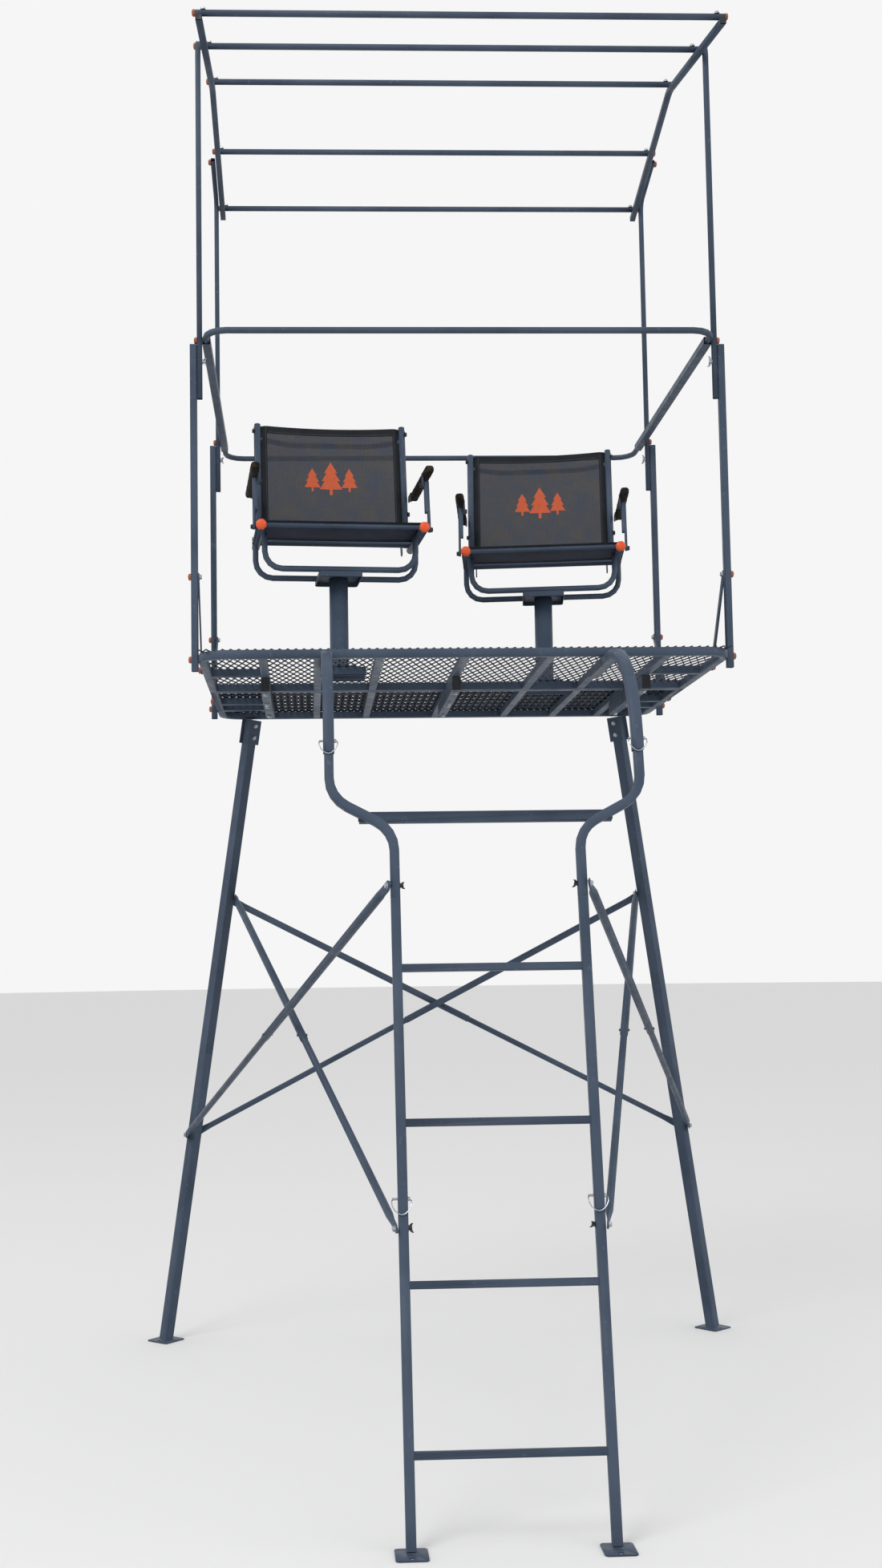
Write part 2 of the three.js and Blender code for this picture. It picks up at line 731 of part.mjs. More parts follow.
function seatPost() {
  const radius = SEAT.postDiameter / 2;
  const flange = SEAT.flangeDiameter / 2;
  const top = SEAT.plateTop - SEAT.plateThickness - GAP;
  const outline = [
    [0, GAP],
    [flange, GAP],
    [flange, 6],
    [radius, 6],
    [radius, top],
    [radius - 2.5, top],
    [radius - 2.5, 6],
    [0, 6],
  ].map(([r, z]) => new THREE.Vector2(r, z));
  return toSolid(new THREE.LatheGeometry(outline, 20).rotateX(Math.PI / 2));
}

function seatBase() {
  const { bar, barZ, railZ, railX, rail, bendRadius } = SEAT;
  const legTop = railZ - 2.5;
  const tubes = Object.values(SEAT.bends).map(({ x, y }) =>
    roundTube([v(-x, y, legTop), v(-x, y, barZ), v(x, y, barZ), v(x, y, legTop)], bar, {
      bend: bendRadius,
    }),
  );
  for (const [, side] of SIDES) {
    const x = side * railX;
    tubes.push(roundTube([v(x, SEAT.railFrontY, railZ), v(x, SEAT.railRearY, railZ)], rail));
  }
  for (const tie of [SEAT.frontTie, SEAT.rearTie]) {
    const ends = [v(-railX, tie.y, tie.z), v(railX, tie.y, tie.z)];
    tubes.push(roundTube(ends, tie.diameter));
  }
  const bottom = SEAT.plateTop - SEAT.plateThickness;
  const plate = slab(rectangle(...SEAT.plate, 10), bottom, SEAT.plateThickness);
  const stub = new THREE.CylinderGeometry(24, 24, 62, 12).rotateX(Math.PI / 2);
  const spindle = toSolid(stub.translate(0, 0, bottom - 30));
  const brackets = SIDES.map(([, side]) => {
    const x = side * (BACK.tubeX + BACK.tube / 2 + 3.5);
    return flatBar(
      v(x, SEAT.railRearY - 22, railZ + 1),
      v(x, BACK.pivotY, BACK.pivotZ),
      26,
      5,
      v(1, 0, 0),
    );
  });
  return weld(tubes, [plate, spindle]).add(join(brackets));
}

function seatSling() {
  const depth = SEAT.slingRearY - SEAT.slingFrontY;
  const bottom = SEAT.railZ + SEAT.rail / 2 + 1;
  const sheet = slab(rectangle(2 * SEAT.slingHalfWidth, depth), bottom, 2.5);
  return sheet.translate([0, (SEAT.slingRearY + SEAT.slingFrontY) / 2, 0]);
}

function backFrame() {
  const { tube, tubeX, below, length, bowAt, bowDepth } = BACK;
  const tubes = SIDES.map(([, side]) =>
    roundTube([onBack(side * tubeX, -below), onBack(side * tubeX, length)], tube),
  );
  const bow = [
    onBack(-tubeX, bowAt),
    onBack(-tubeX * 0.55, bowAt, bowDepth),
    onBack(tubeX * 0.55, bowAt, bowDepth),
    onBack(tubeX, bowAt),
  ];
  tubes.push(roundTube(bow, tube - 3, { bend: 140 }));
  return weld(tubes);
}

function backSling() {
  const { slingHalfWidth, slingBottom, slingTop, lean } = BACK;
  const height = slingTop - slingBottom;
  const sheet = new THREE.BoxGeometry(2 * slingHalfWidth, 3, height).rotateX(-lean);
  const middle = onBack(0, (slingTop + slingBottom) / 2, -8);
  return toSolid(sheet.translate(middle.x, middle.y, middle.z));
}

const ARM_PIVOT = onBack(0, ARM.linkLength);
const STRUT_FOOT = v(0, ARM.strutFootY, SEAT.railZ);
const STRUT_TOP = STRUT_FOOT.clone().add(ARM_PIVOT).sub(v(0, BACK.pivotY, BACK.pivotZ));

function armrest(side) {
  const { x, width, height, rearGap, length, lug } = ARM;
  const rearY = ARM_PIVOT.y - rearGap;
  const outline = rectangle(width, height, 9);
  const geometry = new THREE.ExtrudeGeometry(outline, { depth: length, bevelEnabled: false });
  geometry.rotateX(Math.PI / 2).translate(side * x, rearY, ARM_PIVOT.z);
  const pivotX = side * (x - width / 2 + lug / 2 + 1);
  const rearLug = flatBar(
    v(pivotX, ARM_PIVOT.y, ARM_PIVOT.z),
    v(pivotX, rearY - 30, ARM_PIVOT.z),
    22,
    lug,
    v(1, 0, 0),
  );
  const lugX = side * (ARM.strut.innerX - 1.5 - lug / 2);
  const underLug = flatBar(
    v(lugX, STRUT_TOP.y, ARM_PIVOT.z - 4),
    v(lugX, STRUT_TOP.y, STRUT_TOP.z),
    20,
    lug,
    v(1, 0, 0),
  );
  return join([toSolid(geometry), rearLug, underLug]);
}

// A flat foot that clears the seat rail, widening on its inner side into the bar above.
function strut(side) {
  const { width, depth, innerX, footX, footLength, beyond } = ARM.strut;
  const outerX = innerX + width;
  const along = STRUT_TOP.clone().sub(STRUT_FOOT).normalize();
  const at = (x, run) => STRUT_FOOT.clone().addScaledVector(along, run).setX(side * x);
  const footMiddle = (footX + outerX) / 2;
  const barMiddle = (innerX + outerX) / 2;
  const foot = flatBar(at(footMiddle, 0), at(footMiddle, footLength), 18, outerX - footX, v(1, 0, 0));
  const top = at(barMiddle, ARM.linkLength + beyond);
  const bar = flatBar(at(barMiddle, footLength), top, depth, width, v(1, 0, 0));
  return foot.add(bar);
}

for (const [name, [x, y, turn]] of Object.entries(SEAT.places)) {
  const chair = new THREE.Group();
  chair.position.set(x, y, DECK_TOP);
  chair.rotation.z = THREE.MathUtils.degToRad(turn);
  tower.add(chair);
  addPiece(`${name}_seat_post`, seatPost(), POWDER_COAT, chair);
  addPiece(`${name}_seat_base`, seatBase(), POWDER_COAT, chair);
  addPiece(`${name}_seat_sling`, seatSling(), SLING, chair);
  addPiece(`${name}_back_frame`, backFrame(), POWDER_COAT, chair);
  addPiece(`${name}_back_sling`, backSling(), SLING, chair);
  for (const [hand, side] of SIDES) {
    addPiece(`${name}_armrest_${hand}`, armrest(side), PADDING, chair);
    addPiece(`${name}_arm_strut_${hand}`, strut(side), POWDER_COAT, chair);
  }
}

// The ground footprint's middle is the origin.
const footprint = new THREE.Box3().setFromObject(tower);
const middle = footprint.getCenter(v(0, 0, 0));
tower.position.set(-middle.x, -middle.y, -footprint.min.z);

export default tower;
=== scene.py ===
"""Two-seat hunting tower on four legs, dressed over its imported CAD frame.

Every length below is in millimetres unless its name ends in _m or its docstring says metres.
Pieces are built in metres, and the studio's own sizes are in metres.
"""

import json
import logging
import math
from collections.abc import Callable, Iterator, Sequence
from contextlib import contextmanager
from dataclasses import dataclass, field
from enum import Enum

import bmesh
import bpy
import numpy as np
from mathutils import Matrix, Vector

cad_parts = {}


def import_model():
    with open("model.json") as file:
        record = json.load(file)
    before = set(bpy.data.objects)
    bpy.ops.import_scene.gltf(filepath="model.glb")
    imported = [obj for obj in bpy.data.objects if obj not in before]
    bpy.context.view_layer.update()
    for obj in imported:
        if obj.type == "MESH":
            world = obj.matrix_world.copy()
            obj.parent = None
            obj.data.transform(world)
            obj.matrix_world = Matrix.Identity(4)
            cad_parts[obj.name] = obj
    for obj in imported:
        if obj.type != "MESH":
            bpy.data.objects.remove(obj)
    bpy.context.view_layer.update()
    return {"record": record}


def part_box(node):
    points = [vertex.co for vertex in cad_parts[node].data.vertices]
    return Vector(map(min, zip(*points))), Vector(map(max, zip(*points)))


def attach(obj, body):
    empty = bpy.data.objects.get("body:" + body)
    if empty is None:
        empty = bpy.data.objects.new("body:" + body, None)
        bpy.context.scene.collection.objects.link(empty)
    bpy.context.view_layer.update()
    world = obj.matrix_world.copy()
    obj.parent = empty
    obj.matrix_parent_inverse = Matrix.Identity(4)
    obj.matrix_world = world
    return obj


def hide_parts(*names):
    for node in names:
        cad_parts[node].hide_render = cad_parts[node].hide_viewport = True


LOG = logging.getLogger("tower")
MM = 0.001
# the colour sockets of a mix node, whose names repeat
MIX_FACTOR, MIX_FIRST, MIX_SECOND, MIX_RESULT = 0, 6, 7, 2
# a turn that puts an eight-sided cover's flats upright
FLATS_UP = 22.5
SIDES = {"left": -1, "right": 1}
ENDS = {"front": 1, "rear": -1}
Obj = bpy.types.Object
Tree = bpy.types.NodeTree
Span = tuple[float, float]
Spans = tuple[Span, Span]
Line = Callable[[float], Vector]
Surface = Callable[[float, float], Vector]


# ------------------------------------------------------------------ small tools


def mm(x: float, y: float, z: float) -> Vector:
    """A point given in millimetres, in metres."""
    return Vector((x, y, z)) * MM


def linear(code: str) -> tuple[float, float, float, float]:
    """Turn an sRGB hex colour into linear light.

    Args:
        code: six hex digits after a hash.

    Returns:
        Red, green, blue and an alpha of one.
    """
    parts = [int(code[i : i + 2], 16) / 255 for i in (1, 3, 5)]
    red, green, blue = (p / 12.92 if p <= 0.04045 else ((p + 0.055) / 1.055) ** 2.4 for p in parts)
    return (red, green, blue, 1.0)


def add_node(
    tree: Tree, kind: str, settings: dict, links: dict | None = None
) -> bpy.types.Node:
    """Add one node, set it and link it.

    Args:
        tree: the material's node tree.
        kind: the node's type name.
        settings: properties by lower-case name, and socket values by socket name or number.
        links: for each of its sockets, the output that feeds it.

    Returns:
        The new node.
    """
    node = tree.nodes.new(kind)
    for key, value in settings.items():
        if isinstance(key, str) and key[0].islower():
            setattr(node, key, value)
        else:
            node.inputs[key].default_value = value
    for key, output in (links or {}).items():
        tree.links.new(output, node.inputs[key])
    return node


def deselect() -> None:
    """Leave nothing selected, so that an operator acts on one thing only."""
    bpy.ops.object.select_all(action="DESELECT")


def activate(obj: Obj) -> None:
    """Select obj alone and make it active."""
    deselect()
    obj.select_set(True)
    bpy.context.view_layer.objects.active = obj


def named(obj: Obj, name: str) -> Obj:
    """Give obj and its mesh one name, and return it."""
    obj.name = obj.data.name = name
    return obj


def settled() -> Obj:
    """Put the newest primitive's place into its mesh.

    Returns:
        The primitive, standing at the origin.
    """
    obj = bpy.context.object
    bpy.context.view_layer.update()
    obj.data.transform(obj.matrix_world)
    obj.matrix_world = Matrix.Identity(4)
    return obj


@contextmanager
def editing(obj: Obj, kind: str, chosen: Callable) -> Iterator[None]:
    """Edit obj with some of its faces, edges or vertices selected.

    Args:
        obj: the mesh object.
        kind: FACE, EDGE or VERT.
        chosen: says of one element whether it is selected.
    """
    activate(obj)
    bpy.ops.object.mode_set(mode="EDIT")
    bpy.ops.mesh.select_mode(type=kind)
    bpy.ops.mesh.select_all(action="DESELECT")
    mesh = bmesh.from_edit_mesh(obj.data)
    elements = {"FACE": mesh.faces, "EDGE": mesh.edges, "VERT": mesh.verts}[kind]
    for element in elements:
        if chosen(element):
            element.select_set(True)
    mesh.select_flush_mode()
    bmesh.update_edit_mesh(obj.data)
    yield
    bpy.ops.object.mode_set(mode="OBJECT")


def extrude(rise: float, scale: float, height: float) -> None:
    """Extrude what is selected upwards and scale its new end about the Z axis.

    Args:
        rise: how far up, in metres.
        scale: the new end's size over the old one's.
        height: the new end's height, in metres.
    """
    bpy.ops.mesh.extrude_region_move(TRANSFORM_OT_translate={"value": (0, 0, rise)})
    bpy.ops.transform.resize(value=(scale, scale, 1), center_override=(0, 0, height))


def prism(sides: int, radius: float, bottom: float, height: float) -> Obj:
    """Add an upright prism.

    Args:
        sides: its number of sides.
        radius: to its corners, in millimetres.
        bottom: its lower end's height in millimetres.
        height: in millimetres.

    Returns:
        The prism at the origin.
    """
    deselect()
    middle = (bottom + height / 2) * MM
    bpy.ops.mesh.primitive_cylinder_add(
        vertices=sides, radius=radius * MM, depth=height * MM, location=(0, 0, middle)
    )
    return settled()


def block(size: Sequence[float], centre: Sequence[float]) -> Obj:
    """Add a box with its place in its mesh.

    Args:
        size: its three sides in millimetres.
        centre: its middle in millimetres.

    Returns:
        The box at the origin.
    """
    deselect()
    bpy.ops.mesh.primitive_cube_add(size=MM, location=mm(*centre))
    bpy.context.object.scale = size
    return settled()


def crowned(obj: Obj, steps: Sequence[tuple[float, float]]) -> Obj:
    """Draw an upright prism's top face up in rings.

    Args:
        obj: a prism about the Z axis.
        steps: for each ring, its rise in millimetres and its scale.

    Returns:
        The same object.
    """
    top = max(v.co.z for v in obj.data.vertices)
    with editing(obj, "FACE", lambda f: f.normal.z > 0.9 and f.calc_center_median().z > top - 1e-6):
        height = top
        for rise, scale in steps:
            height += rise * MM
            extrude(rise * MM, scale, height)
    return obj


def modified(obj: Obj, kind: str, **settings: object) -> Obj:
    """Add one modifier to obj and apply it.

    Args:
        obj: the mesh object.
        kind: the modifier's type name.
        settings: its properties.

    Returns:
        The same object.
    """
    activate(obj)
    modifier = obj.modifiers.new(kind.title(), kind)
    for key, value in settings.items():
        setattr(modifier, key, value)
    bpy.ops.object.modifier_apply(modifier=modifier.name)
    return obj


def bevelled(
    obj: Obj, width: float, segments: int = 2, angle: float = 35
) -> Obj:
    """Round obj's sharp edges by width millimetres."""
    return modified(
        obj,
        "BEVEL",
        width=width * MM,
        segments=segments,
        limit_method="ANGLE",
        angle_limit=math.radians(angle),
    )


def joined(parts: Sequence[Obj]) -> Obj:
    """Join several objects into the first and return it."""
    activate(parts[0])
    for part in parts:
        part.select_set(True)
    bpy.ops.object.join()
    return parts[0]


def smoothed(obj: Obj, angle: float = 38) -> Obj:
    """Shade obj smooth over edges flatter than angle degrees."""
    activate(obj)
    bpy.ops.object.shade_smooth_by_angle(angle=math.radians(angle))
    return obj


def wire(points: Sequence[Vector], diameter: float, ring: int) -> Obj:
    """Run a round wire through points.

    Args:
        points: its middle line in metres.
        diameter: in millimetres.
        ring: bevel resolution of its section.

    Returns:
        The wire as a mesh.
    """
    curve = bpy.data.curves.new("wire", "CURVE")
    curve.dimensions = "3D"
    curve.bevel_depth = diameter / 2 * MM
    curve.bevel_resolution = ring
    curve.use_fill_caps = True
    spline = curve.splines.new("POLY")
    spline.points.add(len(points) - 1)
    for target, point in zip(spline.points, points):
        target.co = (*point, 1)
    obj = bpy.data.objects.new("wire", curve)
    bpy.context.scene.collection.objects.link(obj)
    activate(obj)
    bpy.ops.object.convert(target="MESH")
    return bpy.context.object


def copied(template: Obj, name: str, matrix: Matrix) -> Obj:
    """Copy a template with its own mesh to its place.

    Args:
        template: what is copied.
        name: the new piece's name.
        matrix: where it goes, from the template's own frame.

    Returns:
        The copy at the origin, with its place in its mesh.
    """
    obj = template.copy()
    obj.data = template.data.copy()
    obj.name = obj.data.name = name
    obj.parent = None
    obj.matrix_world = Matrix.Identity(4)
    obj.data.transform(matrix)
    if matrix.determinant() < 0:
        obj.data.flip_normals()
    bpy.context.scene.collection.objects.link(obj)
    return obj


def facing(at: Vector, axis: Vector, roll: float = 0.0) -> Matrix:
    """The placement that turns +Z to axis at a point.

    Args:
        at: the point, in metres.
        axis: the direction that +Z takes.
        roll: a turn about +Z first, in degrees.

    Returns:
        The matrix.
    """
    turn = Vector(axis).normalized().to_track_quat("Z", "Y").to_matrix().to_4x4()
    return Matrix.Translation(at) @ turn @ Matrix.Rotation(math.radians(roll), 4, "Z")


# ------------------------------------------------------------------ finishes


@dataclass(frozen=True)
class Finish:
    """A real material: its name, colours and gloss.

    Args:
        name: its common name.
        base: its main colour.
        second: the colour it varies towards.
        rough: its roughness.
        metallic: one for bare metal.
    """

    name: str
    base: str
    second: str
    rough: float = 0.5
    metallic: float = 0.0

    def started(self) -> tuple[Tree, bpy.types.Node, bpy.types.Node]:
        """Start the material.

        Returns:
            Its tree, its shader and its coordinates.
        """
        material = bpy.data.materials.new(self.name)
        material.use_nodes = True
        tree = material.node_tree
        shader = tree.nodes["Principled BSDF"]
        shader.inputs["Metallic"].default_value = self.metallic
        shader.inputs["Roughness"].default_value = self.rough
        return tree, shader, add_node(tree, "ShaderNodeTexCoord", {})

    def noise(
        self, tree: Tree, vector: object, size: float, detail: float = 3
    ) -> object:
        """A noise whose patches are about size millimetres across, as a factor."""
        settings = {"Scale": 1 / (size * MM), "Detail": detail, "Roughness": 0.55}
        return add_node(tree, "ShaderNodeTexNoise", settings, {"Vector": vector}).outputs["Fac"]

    def ranged(self, tree: Tree, value: object, low: float, high: float) -> object:
        """The value's middle part spread over low to high."""
        return self.mapped(tree, value, (0.35, 0.65), (low, high))

    def mapped(self, tree: Tree, value: object, source: Span, target: Span = (0, 1)) -> object:
        """The value's source range spread over the target range."""
        ends = ("From Min", "From Max", "To Min", "To Max")
        settings = dict(zip(ends, (*source, *target)))
        return add_node(tree, "ShaderNodeMapRange", settings, {"Value": value}).outputs["Result"]

    def mixed(
        self, tree: Tree, factor: object, first: object, second: object
    ) -> object:
        """Mix two colours, each a hex code or an output, by a factor."""
        settings: dict = {"data_type": "RGBA"}
        links = {MIX_FACTOR: factor}
        for socket, colour in ((MIX_FIRST, first), (MIX_SECOND, second)):
            if isinstance(colour, str):
                settings[socket] = linear(colour)
            else:
                links[socket] = colour
        return add_node(tree, "ShaderNodeMix", settings, links).outputs[MIX_RESULT]

    def bumped(
        self, tree: Tree, height: object, depth: float, strength: float
    ) -> object:
        """A normal from a height, for relief that is depth millimetres deep."""
        settings = {"Strength": strength, "Distance": depth * MM}
        return add_node(tree, "ShaderNodeBump", settings, {"Height": height}).outputs[0]


@dataclass(frozen=True)
class PowderCoat(Finish):
    """Baked powder coat on steel: satin, faintly pebbled, rubbed paler where hands and boots go."""

    rubbed: str = "#6d7987"
    pebble: float = 2.6

    def build(self) -> bpy.types.Material:
        """Make the material: broad shade changes, pale rubs and an orange-peel skin."""
        tree, shader, place = self.started()
        where = place.outputs["Object"]
        broad = self.ranged(tree, self.noise(tree, where, 210), 0, 1)
        colour = self.mixed(tree, broad, self.base, self.second)
        fine = self.noise(tree, where, 16, 6)
        rub = self.mapped(tree, fine, (0.62, 0.74), (0, 0.55))
        colour = self.mixed(tree, rub, colour, self.rubbed)
        tree.links.new(colour, shader.inputs["Base Color"])
        gloss = self.ranged(tree, self.noise(tree, where, 45), self.rough - 0.07, self.rough + 0.08)
        tree.links.new(gloss, shader.inputs["Roughness"])
        skin = self.bumped(tree, self.noise(tree, where, self.pebble, 1), 0.12, 0.35)
        tree.links.new(skin, shader.inputs["Normal"])
        shader.inputs["Specular IOR Level"].default_value = 0.14
        return bpy.data.materials[self.name]


@dataclass(frozen=True)
class OpenWeave(Finish):
    """Vinyl-coated polyester mesh cloth: matt crossed threads that let some light through."""

    thread: float = 3.4
    cover: float = 1.0

    def build(self) -> bpy.types.Material:
        """Make the material: two thread sets along the piece's UV, coarse enough to show."""
        tree, shader, place = self.started()
        cloth = place.outputs["UV"]
        scale = math.pi / (10 * self.thread * MM)
        sets = []
        for way in ("X", "Y"):
            settings = {"bands_direction": way, "Scale": scale, "Distortion": 0.6, "Detail": 1.0}
            sets.append(
                add_node(tree, "ShaderNodeTexWave", settings, {"Vector": cloth}).outputs["Fac"]
            )
        weave = add_node(
            tree, "ShaderNodeMath", {"operation": "MAXIMUM"}, {0: sets[0], 1: sets[1]}
        ).outputs[0]
        tint = self.ranged(tree, self.noise(tree, cloth, 60), 0, 1)
        colour = self.mixed(tree, tint, self.base, self.second)
        shade = self.mapped(tree, weave, (0.2, 0.9), (0.5, 0.0))
        colour = self.mixed(tree, shade, colour, "#0d0f12")
        tree.links.new(colour, shader.inputs["Base Color"])
        tree.links.new(self.bumped(tree, weave, 0.5, 0.7), shader.inputs["Normal"])
        shader.inputs["Specular IOR Level"].default_value = 0.2
        shader.inputs["Alpha"].default_value = self.cover
        return bpy.data.materials[self.name]


@dataclass(frozen=True)
class SleeveCloth(Finish):
    """Brushed polyester over foam: matt, blotched in dark leaf browns, with a close twill."""

    twill: float = 2.0

    def build(self) -> bpy.types.Material:
        """Make the material: blotches about a thumb wide under a twill relief."""
        tree, shader, place = self.started()
        where = place.outputs["Object"]
        blotch = self.noise(tree, where, 34, 2)
        edge = self.mapped(tree, blotch, (0.47, 0.52))
        colour = self.mixed(tree, edge, self.base, self.second)
        dark = self.mapped(tree, self.noise(tree, where, 21, 2), (0.5, 0.56))
        colour = self.mixed(tree, dark, colour, "#14110f")
        tree.links.new(colour, shader.inputs["Base Color"])
        settings = {
            "bands_direction": "DIAGONAL",
            "Scale": math.pi / (10 * self.twill * MM),
            "Distortion": 0.4,
        }
        twill = add_node(tree, "ShaderNodeTexWave", settings, {"Vector": where}).outputs["Fac"]
        tree.links.new(self.bumped(tree, twill, 0.3, 0.5), shader.inputs["Normal"])
        shader.inputs["Specular IOR Level"].default_value = 0.2
        return bpy.data.materials[self.name]


@dataclass(frozen=True)
class Moulding(Finish):
    """Injection-moulded plastic: even colour with a faint spark-eroded grain and soft scuffs."""

    grain: float = 0.9

    def build(self) -> bpy.types.Material:
        """Make the material: a slow shade change, scuffed gloss and a fine grain."""
        tree, shader, place = self.started()
        where = place.outputs["Object"]
        colour = self.mixed(tree, self.noise(tree, where, 14), self.base, self.second)
        tree.links.new(colour, shader.inputs["Base Color"])
        gloss = self.ranged(tree, self.noise(tree, where, 8), self.rough - 0.08, self.rough + 0.1)
        tree.links.new(gloss, shader.inputs["Roughness"])
        grain = self.bumped(tree, self.noise(tree, where, self.grain, 1), 0.05, 0.3)
        tree.links.new(grain, shader.inputs["Normal"])
        return bpy.data.materials[self.name]


class Coat(Enum):
    """Every finish on the tower, by what it is."""

    # satin slate powder coat: blue-grey with a paler rub
    FRAME = PowderCoat("slate_powder_coat", "#3b4656", "#455162", 0.44, rubbed="#5c697b")
    # the deck's coat is the same powder, its colours painted darker as shade on the deck seen from
    # below
    DECK = PowderCoat("deck_powder_coat_painted_shade", "#272d38", "#303743", 0.5, rubbed="#4c5665")
    # coated polyester mesh: near-black navy, browned by the sun
    SLING = OpenWeave("sling_mesh", "#3a4150", "#494646", 0.75, cover=0.84)
    # the seats' cloth: closer and darker than the backs'
    SEAT = OpenWeave("seat_mesh", "#1e273f", "#293049", 0.7, cover=0.97)
    # woven polypropylene tape on the slings' edges
    HEM = OpenWeave("hem_tape", "#171a1f", "#1f2329", 0.7, thread=2.4)
    # bonded polyester thread
    THREAD = Moulding("seam_thread", "#4b525b", "#3b4149", 0.6)
    # brushed polyester sleeve over foam
    SLEEVE = SleeveCloth("arm_sleeve", "#211c19", "#30281f", 0.85)
    # orange moulded nylon
    ORANGE = Moulding("orange_nylon", "#cf4210", "#e0551a", 0.42)
    # rust-orange moulded bolt covers
    RUST = Moulding("rust_nylon", "#9c5430", "#84452a", 0.5)
    # printed orange ink on the cloth
    INK = Moulding("orange_ink", "#c8562b", "#b04a26", 0.7)
    # black moulded nylon
    BLACK = Moulding("black_nylon", "#14161a", "#1d2024", 0.45)
    # clear zinc plate on steel: bright, faintly blue, dulled in patches
    ZINC = Moulding("zinc_plate", "#b9bec4", "#9aa1a8", 0.34, metallic=1.0)

    def material(self) -> bpy.types.Material:
        """The finish's material, made the first time it is asked for."""
        return bpy.data.materials.get(self.value.name) or self.value.build()


def dress(obj: Obj, coat: Coat) -> Obj:
    """Give obj one finish all over."""
    obj.data.materials.clear()
    obj.data.materials.append(coat.material())
    return obj


class Slot(Enum):
    """The record's material slots."""

    COAT = "powder_coat"
    DECK = "deck_mesh"
    SLING = "sling_fabric"
    PADDING = "arm_padding"


def mount(
    obj: Obj, body: str, coat: Coat
) -> Obj:
    """Dress a finished piece and put it on its body.

    Args:
        obj: the piece, at the origin.
        body: the CAD body that it moves with.
        coat: its finish.

    Returns:
        The same object.
    """
    dress(obj, coat)
    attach(obj, body)
    LOG.info("piece %s rides on %s in %s", obj.name, body, coat.value.name)
    return obj


# ------------------------------------------------------------------ hardware


class Kind(Enum):
    """The small hardware, each modelled once standing on z = 0 and pointing up."""

    HEX_BOLT = "hex_bolt"
    DOME_CAP = "dome_cap"
    SMALL_CAP = "small_cap"
    WING_BOLT = "wing_bolt"
    HITCH_PIN = "hitch_pin"
    SQUARE_PLUG = "square_plug"
    BEAM_PLUG = "beam_plug"
    SLEEVE = "sleeve"


@dataclass
class Hardware:
    """Bolts, caps, pins and plugs."""

    flats_radius: float = 7.5
    washer_radius: float = 8.5
    templates: dict[Kind, Obj] = field(default_factory=dict)

    def build(self) -> None:
        """Model each kind once."""
        makers = {
            Kind.HEX_BOLT: self.hex_bolt,
            Kind.DOME_CAP: lambda: self.cap(17.2, 6),
            Kind.SMALL_CAP: lambda: self.cap(10.5, 5),
            Kind.WING_BOLT: self.wing_bolt,
            Kind.HITCH_PIN: self.hitch_pin,
            Kind.SQUARE_PLUG: lambda: self.plug(19, 19),
            Kind.BEAM_PLUG: lambda: self.plug(28, 44),
            Kind.SLEEVE: lambda: smoothed(bevelled(prism(16, 7, 0, 26), 0.8, 1)),
        }
        for kind, make in makers.items():
            self.templates[kind] = make()

    def hex_bolt(self) -> Obj:
        """A flanged hex head on its washer."""
        washer = bevelled(prism(18, self.washer_radius, 0, 1.8), 0.4, 1)
        head = crowned(
            prism(6, self.flats_radius, 1.8, 4.6), [(0.8, 0.86), (0.15, 0.7), (-0.5, 0.8)]
        )
        return smoothed(joined([washer, head]), 30)

    def cap(self, radius: float, height: float) -> Obj:
        """An eight-sided domed cover."""
        rings = [
            (radius * 0.14, 0.93),
            (radius * 0.13, 0.84),
            (radius * 0.09, 0.68),
            (radius * 0.04, 0.4),
        ]
        body = crowned(prism(8, radius, 0, height), rings)
        collar = bevelled(prism(24, radius * 0.91, -0.8, 2), 0.5, 1)
        return smoothed(joined([body, collar]), 24)

    def wing_bolt(self) -> Obj:
        """A hub with two upswept wings on a washer."""
        washer = bevelled(prism(16, 8, 0, 1.5), 0.4, 1)
        hub = crowned(prism(12, 5.5, 1.5, 6), [(1.5, 0.8), (0.6, 0.5)])
        wings = []
        for way in (-1, 1):
            wing = block((7, 3, 7), (way * 7, 0, 6.5))
            with editing(wing, "FACE", lambda f, way=way: f.normal.x * way > 0.9):
                bpy.ops.mesh.extrude_region_move(
                    TRANSFORM_OT_translate={"value": mm(way * 6, 0, 4.5)}
                )
                bpy.ops.transform.resize(value=(1, 0.8, 0.8))
            wings.append(bevelled(wing, 1.2, 2))
        return smoothed(joined([washer, hub, *wings]), 40)

    def hitch_pin(self) -> Obj:
        """A pin's head with the sprung wire that snaps round the tube."""
        head = crowned(prism(14, 5.5, 0, 5), [(1.2, 0.85), (0.4, 0.5)])
        shaft = bevelled(prism(12, 3.2, -40, 41), 0.8, 1)
        bend = [
            (0, 0, 4), (-9, -3, 9), (-17, -12, 9), (-21, -24, 3), (-22, -33, -7), (-22, -36, -16)
        ]
        back = [(x, y, -32 - z) for x, y, z in reversed(bend[:-1])]
        loop = wire([mm(*point) for point in bend + back], 3.0, 2)
        return smoothed(joined([head, shaft, loop]), 40)

    def plug(self, width: float, height: float) -> Obj:
        """A tube-end plug with a dished face."""
        lip = block((width, height, 2.4), (0, 0, 1.2))
        with editing(lip, "FACE", lambda f: f.normal.z > 0.9):
            bpy.ops.mesh.inset(thickness=2.6 * MM)
            bpy.ops.transform.translate(value=(0, 0, -0.9 * MM))
        return smoothed(bevelled(lip, 0.7, 2))

    def put(self, kind: Kind, name: str, place: Matrix, body: str, coat: Coat) -> None:
        """Copy one kind to its place on a body.

        Args:
            kind: which piece.
            name: the copy's name.
            place: where it goes.
            body: what it rides on.
            coat: its finish.
        """
        mount(copied(self.templates[kind], name, place), body, coat)

    def clear(self) -> None:
        """Remove the templates, which aren't pieces."""
        for template in self.templates.values():
            bpy.data.objects.remove(template)


# ------------------------------------------------------------------ carried-over steel


